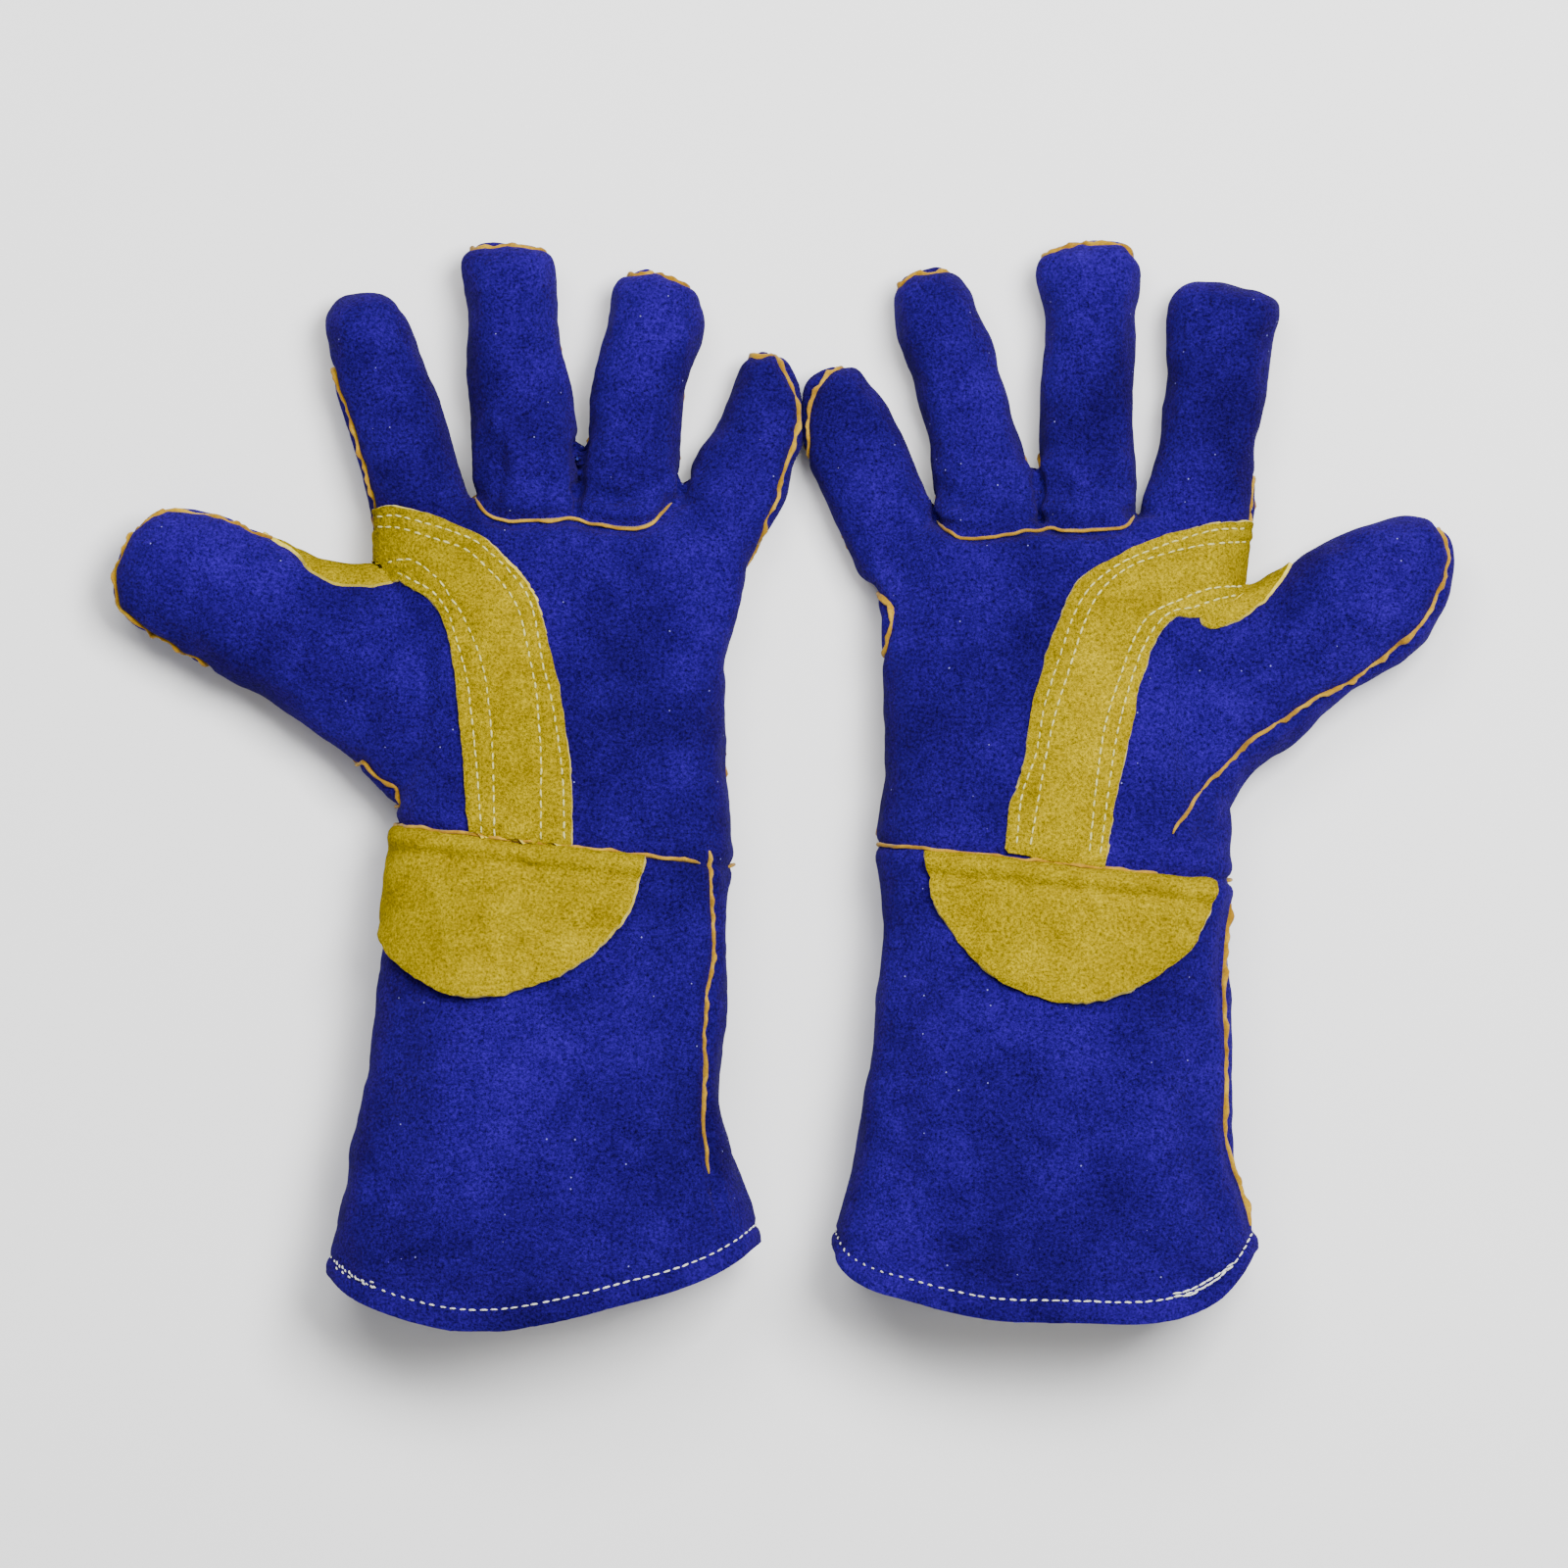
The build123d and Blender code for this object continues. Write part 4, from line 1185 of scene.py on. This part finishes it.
def zero_points(co, faces, values):
    """Points where a field is zero, along the edges of a surface."""
    edges = set()
    for f in faces:
        for i, j in zip(f, f[1:] + f[:1]):
            edges.add((i, j) if i < j else (j, i))
    e = np.array(list(edges))
    a, b = values[e[:, 0]], values[e[:, 1]]
    hit = (a * b) < 0
    e, a, b = e[hit], a[hit], b[hit]
    t = (a / (a - b))[:, None]
    return co[e[:, 0]] * (1 - t) + co[e[:, 1]] * t


def shape_surface(side, outlines, co, faces, fields):
    """Grooves at the seams, folds, and the uneven surface of soft leather."""
    normals = normals_of(co, faces)
    xy = co[:, :2]
    top = np.clip(normals[:, 2] * 2, 0, 1)
    on_cuff = fields["wrist"] < 0
    move = np.zeros(len(co))
    seam = zero_points(co, faces, np.where(on_cuff, 50.0, fields["front"]))
    d = distances_to(seam, co)
    pucker = 0.75 + 0.25 * Noise(5, 6.0)(co)
    move += groove(d, 1.0, 1.5) * pucker + 0.3 * np.exp(-(((d - 4.5) / 2.6) ** 2))
    d = np.abs(fields["wrist"])
    move += groove(d, 1.1, 1.5) + 0.35 * np.exp(-(((d - 4.5) / 2.6) ** 2))
    base = smooth_line(outlines["finger_welt"], 80)
    d = plan_distances(base, xy)
    under = side_distance(xy, base)
    move += top * (groove(d, 1.9, 1.7) + np.where(under > 0, 1.9, 0.3) * np.exp(-(((d - 5.5) / 3.2) ** 2)))
    seam = smooth_line(outlines["cuff_seam"], 80)
    d = plan_distances(seam, xy)
    move += top * on_cuff * groove(d, 0.9, 1.4)
    # a crease where two fingers press on each other, down to the welt at their base
    start = np.maximum(np.clip((fields["base"] + 3) / 3, 0, 1), top * np.clip((under - 1.0) / 1.5, 0, 1))
    held = np.clip((fields["pressed"] + 5) / 3, 0, 1) * start
    move -= held * CREASE * np.exp(-((fields["between"] / 1.4) ** 2))
    # hem: a turned edge held by the row of stitches
    d = fields["hem"]
    move += on_cuff * (groove(d - HEM_ROW, 0.8, 1.1) + 0.45 * np.exp(-(((d - 3.2) / 2.2) ** 2)))
    # folds
    for points, depth, width in FOLDS[side]:
        line = smooth_line(points, 60)
        d = plan_distances(line, xy)
        ends = np.minimum(np.linalg.norm(xy - line[0], axis=1), np.linalg.norm(xy - line[-1], axis=1))
        fade = np.clip(ends / 9, 0, 1)
        depth, width = 1.4 * depth, 1.2 * width
        ridge = 0.35 * depth * np.exp(-(((d - 2.1 * width) / width) ** 2))
        move += top * fade * (groove(d, depth, width) + ridge)
    seed = 11 if side == "left" else 31
    move += 0.6 * Noise(seed, 46.0)(co) + 0.3 * Noise(seed + 1, 19.0)(co) + 0.1 * Noise(seed + 2, 8.0)(co)
    co = co + normals * move[:, None]
    co[:, 2] = np.where(co[:, 2] < 1.2, 0.35 + (co[:, 2] - 0.35) * 0.15, co[:, 2])
    co[:, 2] = np.maximum(co[:, 2], 0.3)
    return co


def region_faces(skin, order):
    """Which piece every face belongs to: (body, is it on the palm side)."""
    index = {name: k for k, name in enumerate(order)}
    edge_faces = {}
    for k, face in enumerate(skin.faces):
        for i, j in zip(face, face[1:] + face[:1]):
            edge_faces.setdefault((i, j) if i < j else (j, i), []).append(k)
    body = ["cuff" if side[index["wrist"]] < 0 else "hand" for side in skin.sides]
    centres = np.array([skin.co[list(f)].mean(axis=0) for f in skin.faces])
    for digit, seed in skin.seeds.items():
        allowed = [side[index[digit]] > 0 and b == "hand" for side, b in zip(skin.sides, body)]
        d = np.linalg.norm(centres[:, :2] - seed, axis=1)
        d[~np.array(allowed)] = 1e9
        start = int(np.argmin(d))
        found, todo = {start}, [start]
        while todo:
            k = todo.pop()
            face = skin.faces[k]
            for i, j in zip(face, face[1:] + face[:1]):
                for other in edge_faces[(i, j) if i < j else (j, i)]:
                    if other not in found and allowed[other]:
                        found.add(other)
                        todo.append(other)
        for k in found:
            body[k] = digit
    front = [side[index["front"]] > 0 for side in skin.sides]
    return body, front, edge_faces


def attach(piece, side, body):
    """Attach a cuff piece to the cuff's body; bake the transform of every other piece."""
    if body == "cuff":
        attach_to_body(piece, f"{side}_cuff")
        return
    if body == "flap":
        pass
    elif body == "hand":
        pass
    else:
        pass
    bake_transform(piece)


def overlay(name, co, normals, faces, outline, lift, thickness, materials, low=None, shape=None):
    """A patch of leather laid over the surface inside a plan outline."""
    box_low, box_high = outline.min(axis=0) - 3, outline.max(axis=0) + 3
    near = []
    floor = -1e9 if low is None else low
    for f in faces:
        x, y, z = co[f[0]]
        if box_low[0] < x < box_high[0] and box_low[1] < y < box_high[1] and z > floor - 2:
            near.append(f)
    used = sorted({i for f in near for i in f})
    index = {i: k for k, i in enumerate(used)}
    part = co[used]
    n = normals[used]
    cut = inside(part[:, :2], outline)
    if low is not None:
        cut = np.minimum(cut, part[:, 2] - low)
    skin = Skin(part, [tuple(index[i] for i in f) for f in near], {"cut": cut, "n": n})
    skin.divide("cut", snap=0.05)
    keep = [f for f, s in zip(skin.faces, skin.sides) if s[0] > 0]
    n = skin.fields["n"]
    n /= np.linalg.norm(n, axis=1, keepdims=True)
    height = np.full(len(skin.co), lift) if not callable(lift) else lift(skin.co, skin.fields["cut"])
    outer = skin.co + n * (height + thickness)[:, None]
    if shape is not None:
        outer = outer + n * shape(skin.co, skin.fields["cut"])[:, None]
    used = sorted({i for f in keep for i in f})
    remap = {i: k for k, i in enumerate(used)}
    keep = [tuple(remap[i] for i in f) for f in keep]
    outer = outer[used]
    piece = panel(name, outer, normals_of(outer, keep), keep, thickness, materials, bevel=0.6)
    return piece, outer, keep


def shown(side, path, normals):
    """The runs of a seam's welt that are seen: in the hidden boxes the welt is sewn in out of sight."""
    keep = np.ones(len(path), bool)
    for x0, x1, y0, y1 in HIDDEN[side]:
        x, y = path[:, 0], path[:, 1]
        keep &= ~((x > x0) & (x < x1) & (y > y0) & (y < y1) & (normals[:, 2] > -0.3))
    at = np.flatnonzero(keep)
    return [run for run in np.split(at, np.flatnonzero(np.diff(at) > 1) + 1) if len(run) > 5]


class Glove:
    """A glove's skin, divided along its seams: each face's body, and whether it is on the palm's side."""

    def __init__(self, side, outlines):
        self.side, self.outlines = side, outlines
        self.rng = np.random.default_rng(STITCH_SEED[side])
        co, faces = build_skin(outlines, side)
        fields = glove_fields(side, outlines, co)
        skin = Skin(shape_surface(side, outlines, co, faces, fields), faces, fields)
        near_tip = {digit: (line[0][-4], line[1][3]) for digit, line in outlines["fingers"].items()}
        skin.seeds = {digit: np.mean(points, axis=0) for digit, points in near_tip.items()}
        skin.divide("hem")
        skin.keep(lambda sides: sides[0] > 0)
        order = ["hem", "wrist", "front", *FINGERS, "thumb"]
        for name in order[1:]:
            skin.divide(name)
        self.skin = skin
        self.normals = normals_of(skin.co, skin.faces)
        self.body, self.front, self.edge_faces = region_faces(skin, order)
        self.cuff_faces = self.pick("cuff")

    def pick(self, *bodies, front=None):
        """The faces of some bodies, on both sides or on one."""
        every = zip(self.skin.faces, self.body, self.front)
        return [face for face, body, is_front in every if body in bodies and front in (None, is_front)]

    def panel(self, name, faces, thickness, materials, **more):
        return panel(f"{self.side}_{name}", self.skin.co, self.normals, faces, thickness, materials, **more)

    def add(self, piece, body, slot, node):
        """Hand a piece to attach with its body, and hide the CAD node that it replaces."""
        attach(piece, self.side, body)
        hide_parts(f"{self.side}_{node}")

    def add_parts(self, name, parts, material, body, slot, node):
        """Join strips or stitches into one piece."""
        verts, faces = joined(parts)
        self.add(new_piece(f"{self.side}_{name}", verts, faces, [material]), body, slot, node)

    def overlay(self, name, faces, outline, lift, thickness, low=None, shape=None):
        """A piece of yellow leather on this skin."""
        leather = [YELLOW, YELLOW_EDGE, YELLOW]
        name = f"{self.side}_{name}"
        return overlay(name, self.skin.co, self.normals, faces, outline, lift, thickness, leather, low, shape)


def make_glove(side, outlines):
    glove = Glove(side, outlines)
    cuff = make_cuff(glove)
    make_hand(glove)
    make_seam_welts(glove)
    make_wrist_welt(glove)
    make_palm_side_welts(glove)
    make_hem_stitches(glove)
    make_strip(glove)
    make_patch(glove)
    make_flap(glove)


def make_cuff(glove):
    """The cuff's leather and its lining."""
    cuff = glove.panel("cuff_leather", glove.cuff_faces, CUFF_LEATHER, [BLUE, BLUE_EDGE, BLUE])
    glove.add(cuff, "cuff", "blue_suede", "cuff_panel")
    from_hem = glove.skin.fields["hem"]
    faces = [f for f in glove.cuff_faces if min(from_hem[i] for i in f) > FLEECE_FROM_HEM]
    lining = glove.panel("cuff_fleece", faces, FLEECE, [LINING], outward=-CUFF_FLEECE_DEPTH)
    glove.add(lining, "cuff", "lining", "cuff_lining")
    return cuff


def make_hand(glove):
    """The hand's lining, and the leather of hand, fingers and thumb: palm side and back."""
    fields = glove.skin.fields
    clear = np.maximum(fields["base"], fields["thumb"])
    faces = [f for f in glove.pick("hand") if max(clear[i] for i in f) < -FLEECE_FROM_DIGITS]
    lining = glove.panel("hand_fleece", faces, FLEECE, [LINING], outward=-HAND_FLEECE_DEPTH)
    glove.add(lining, "hand", "lining", "hand_lining")
    touching = (np.abs(fields["between"]) < 0.3) & (fields["base"] > -0.3)
    wall = np.where(touching, fields["level"], np.nan)
    for digit in ("hand", *FINGERS, "thumb"):
        for front, label in ((True, "palm"), (False, "back")):
            faces = glove.pick(digit, front=front)
            piece = glove.panel(f"{digit}_{label}", faces, HAND_LEATHER, [BLUE, BLUE_EDGE, BLUE], wall=wall)
            digit_node = f"{digit}_{'front' if front else 'back'}"
            glove.add(piece, digit, "blue_suede", f"{label}_panel" if digit == "hand" else digit_node)


def make_seam_welts(glove):
    """The welts in the seams between palm side and back."""
    skin, body, front = glove.skin, glove.body, glove.front
    seams = {}
    for edge, owners in glove.edge_faces.items():
        if len(owners) == 2:
            a, b = owners
            if body[a] == body[b] != "cuff" and front[a] != front[b]:
                seams.setdefault(body[a], []).append(edge)
    for digit, edges in seams.items():
        parts = []
        for line in chains(edges):
            if len(line) < 6:
                continue
            path, normals = skin.co[line], glove.normals[line]
            total = length_of(path)
            if total < (SHORTEST_WELT_LOOP if line[0] == line[-1] else SHORTEST_WELT):
                continue
            count = max(int(total / WELT_STEP), 6)
            path, normals = resample(even_out(path, 3), count), resample(even_out(normals, 3), count)
            for run in shown(glove.side, path, normals):
                parts.append(sweep(path[run], normals[run], WELT_PROFILE, len(parts) * 3 + 7))
        if parts:
            node = "side_welts" if digit == "hand" else f"{digit}_welt"
            glove.add_parts(f"{digit}_seam_welt", parts, WELT, digit, "welt_leather", node)


def make_wrist_welt(glove):
    """The welt round the wrist, between hand and cuff."""
    at_wrist = {"cuff", "hand"}
    inner = {edge: owners for edge, owners in glove.edge_faces.items() if len(owners) == 2}
    ring = [edge for edge, owners in inner.items() if {glove.body[k] for k in owners} == at_wrist]
    parts = []
    for line in chains(ring):
        if len(line) < 20:
            continue
        path, normals = even_out(glove.skin.co[line], 3), even_out(glove.normals[line], 3)
        count = int(length_of(path) / WELT_STEP)
        path, normals = resample(path, count), resample(normals, count)
        for run in shown(glove.side, path, normals):
            parts.append(sweep(path[run], normals[run], WRIST_PROFILE, 17))
    glove.add_parts("wrist_seam_welt", parts, WELT, "cuff", "welt_leather", "wrist_welt")


def make_palm_side_welts(glove):
    """The welt under the middle and ring fingers, and the one in the cuff's seam."""
    whole = tree_of(glove.skin.co, glove.skin.faces)
    for node, key, body, profile in (
        ("finger_base_welt", "finger_welt", "hand", BASE_WELT_PROFILE),
        ("cuff_seam_welt", "cuff_seam", "cuff", WELT_PROFILE),
    ):
        line = smooth_line(glove.outlines[key], 200)
        path, normals = drape(whole, resample(line, max(int(length_of(line) / WELT_STEP), 8)))
        parts = [sweep(even_out(path, 2), even_out(normals, 4), profile, 23)]
        glove.add_parts(f"{node[:-5]}_strip", parts, WELT, body, "welt_leather", node)


def make_hem_stitches(glove):
    """The row of stitches that holds the turned hem, and its doubled start and end."""
    from_row = glove.skin.fields["hem"] - HEM_ROW
    hem = Skin(glove.skin.co, glove.cuff_faces, {"row": from_row, "n": glove.normals})
    hem.divide("row")
    hem.keep(lambda sides: sides[0] > 0)
    row = hem.fields["row"]
    rim = [(i, j) for i, j in boundary(hem.faces) if abs(row[i]) < 0.2 and abs(row[j]) < 0.2]
    parts = []
    for line in chains(rim):
        if len(line) < 10:
            continue
        path, normals = even_out(hem.co[line], 8), even_out(hem.fields["n"][line], 8)
        count = int(length_of(path) / 1.0)
        path, normals = resample(path, count), resample(normals, count)
        parts += stitches(path + normals * 0.15, normals, glove.rng, **HEM_STITCH)
        parts += extra_stitches(glove, path, normals)
    glove.add_parts("hem_thread", parts, HEM_THREAD, "cuff", "thread", "hem_stitching")


def extra_stitches(glove, path, normals):
    """The doubled back-stitching where the hem's row starts and ends."""
    low, high = BACK_STITCH_SPAN[glove.side]
    chosen = (path[:, 0] > low) & (path[:, 0] < high) & (normals[:, 2] > -0.1)
    along_y = np.array([0.0, 1.0, 0.0])
    line, normals = path[chosen], normals[chosen]
    if len(line) < 6:
        return []
    parts = []
    for offset in (0.9, -0.8):
        wave = (Noise(int(90 + offset * 10), 12.0)(line) * 0.5)[:, None] * along_y
        parts += stitches(line + offset * along_y + wave + normals * 0.5, normals, glove.rng, **BACK_STITCH)
    return parts


def rough_outline(outline, seed, size):
    """A cut outline with the small unevenness of hand-cut leather."""
    line = resample(np.vstack([outline, outline[:1]]), max(int(length_of(outline) / 1.2), 20))[:-1]
    level = flat(line)
    shift = np.column_stack([Noise(seed, 4.0)(level), Noise(seed + 1, 4.0)(level)]) * size
    return line + shift


def make_strip(glove):
    """The yellow strip that runs from the index finger to the wrist, and its stitches."""
    outline = np.vstack([smooth_line(edge, 90) for edge in glove.outlines["strip"]])
    rows = [smooth_line(row, 160) for row in glove.outlines["rows"]]

    def quilted(points, edge):
        d = plan_distances(np.vstack(rows), points[:, :2])
        drawn_in = groove(d, 0.7, 0.9) - 0.25 * np.exp(-np.maximum(edge, 0) / 0.8)
        return drawn_in + 0.12 * Noise(71, 7.0)(points)

    faces = glove.pick("hand", "index", "thumb", front=True)
    rough = rough_outline(outline, 3, 0.13)
    laid = glove.overlay("palm_reinforcement", faces, rough, LAID_ON, STRIP_LEATHER, shape=quilted)
    strip, top, top_faces = laid
    glove.add(strip, "hand", "yellow_suede", "palm_strip")
    surface = tree_of(top, top_faces)
    parts = []
    for row in rows:
        path, normals = drape(surface, resample(row, int(length_of(row) / 1.0)))
        parts += stitches(path, even_out(normals, 3), glove.rng, **STITCH)
    glove.add_parts("palm_thread", parts, THREAD, "hand", "thread", "palm_strip_stitching")


def make_patch(glove):
    """The yellow piece between thumb and index finger."""
    outline = np.vstack([smooth_line(glove.outlines["patch"], 60), PATCH_FAR[glove.side]])

    def soft(points, edge):
        return 0.1 * Noise(73, 7.0)(points) - 0.3 * np.exp(-np.maximum(edge, 0) / 0.8)

    faces = glove.pick("thumb", "hand")
    rough = rough_outline(outline, 9, 0.15)
    piece, *_ = glove.overlay("crotch_leather", faces, rough, LAID_ON, PATCH_LEATHER, PATCH_LOW, soft)
    glove.add(piece, "thumb", "yellow_suede", "thumb_crotch_patch")


def make_flap(glove):
    """The half-moon flap that hangs from the wrist seam."""
    side = glove.side
    point, ahead = hinge(f"{side}_wrist_flex")
    moon = smooth_line(glove.outlines["flap"], 120)
    ends = moon[[0, -1]]
    outline = np.vstack([moon, ends[1] + ahead * 6, ends[0] + ahead * 6])

    def lift(points, edge):
        below = -((points[:, :2] - point[:2]) @ ahead)
        rise = 0.5 + 2.0 * np.clip(below / 45, 0, 1) ** 1.2
        crease = 1.5 * np.exp(-(((below - 4.0) / 2.4) ** 2)) - 1.3 * np.exp(-(((below - 8.2) / 1.5) ** 2))
        tucked = -1.7 * np.clip(1 - below / 2.4, 0, 1)
        over = np.clip((points[:, 2] - FLAP_LOW[side]) / 16, 0.05, 1)
        return rise * over + crease * over + tucked

    def wavy(points, edge):
        curl = 0.9 * np.exp(-np.maximum(edge, 0) / 5) * Noise(81, 34.0)(points)
        return curl + 0.35 * Noise(83, 16.0)(points) - 0.25 * np.exp(-np.maximum(edge, 0) / 0.7)

    rough = rough_outline(outline, 13, 0.25)
    piece, outer, faces = glove.overlay(
        "flap_leather", glove.cuff_faces, rough, lift, FLAP_LEATHER, FLAP_LOW[side], wavy
    )
    glove.add(piece, "flap", "yellow_suede", "wrist_flap")


for glove_side, glove_outlines in (("left", LEFT), ("right", RIGHT)):
    make_glove(glove_side, glove_outlines)


# ---- floor, light, camera ------------------------------------------------------------------------
floor_mesh = bpy.data.meshes.new("floor")
corners = [(x * FLOOR_REACH, y * FLOOR_REACH, 0) for x, y in ((-1, -1), (1, -1), (1, 1), (-1, 1))]
floor_mesh.from_pydata(corners, [], [(0, 1, 2, 3)])
floor = bpy.data.objects.new("floor", floor_mesh)
bpy.context.scene.collection.objects.link(floor)
white = Nodes("floor_paint")
white.shader.inputs["Base Color"].default_value = (0.93, 0.93, 0.93, 1)
white.shader.inputs["Roughness"].default_value = 0.9
floor_mesh.materials.append(white.material)

world = bpy.data.worlds.new("studio")
bpy.context.scene.world = world
world.use_nodes = True
world.node_tree.nodes["Background"].inputs["Color"].default_value = (1, 1, 1, 1)
world.node_tree.nodes["Background"].inputs["Strength"].default_value = WORLD_LIGHT


def lamp(name, place, target, size, power):
    data = bpy.data.lights.new(name, "AREA")
    data.shape = "RECTANGLE"
    data.size, data.size_y = size
    data.energy = power
    obj = bpy.data.objects.new(name, data)
    obj.location = place
    obj.rotation_euler = (Vector(target) - Vector(place)).to_track_quat("-Z", "Y").to_euler()
    bpy.context.scene.collection.objects.link(obj)


for spec in LAMPS:
    lamp(*spec)

camera_data = bpy.data.cameras.new("camera")
camera_data.sensor_width = SENSOR_WIDTH
camera_data.lens = SENSOR_WIDTH * CAMERA_DISTANCE / FRAME_WIDTH
camera = bpy.data.objects.new("camera", camera_data)
camera.location = (0.0, -0.0003, CAMERA_DISTANCE + 0.03)
camera.rotation_euler = (0, 0, 0)
bpy.context.scene.collection.objects.link(camera)
bpy.context.scene.camera = camera
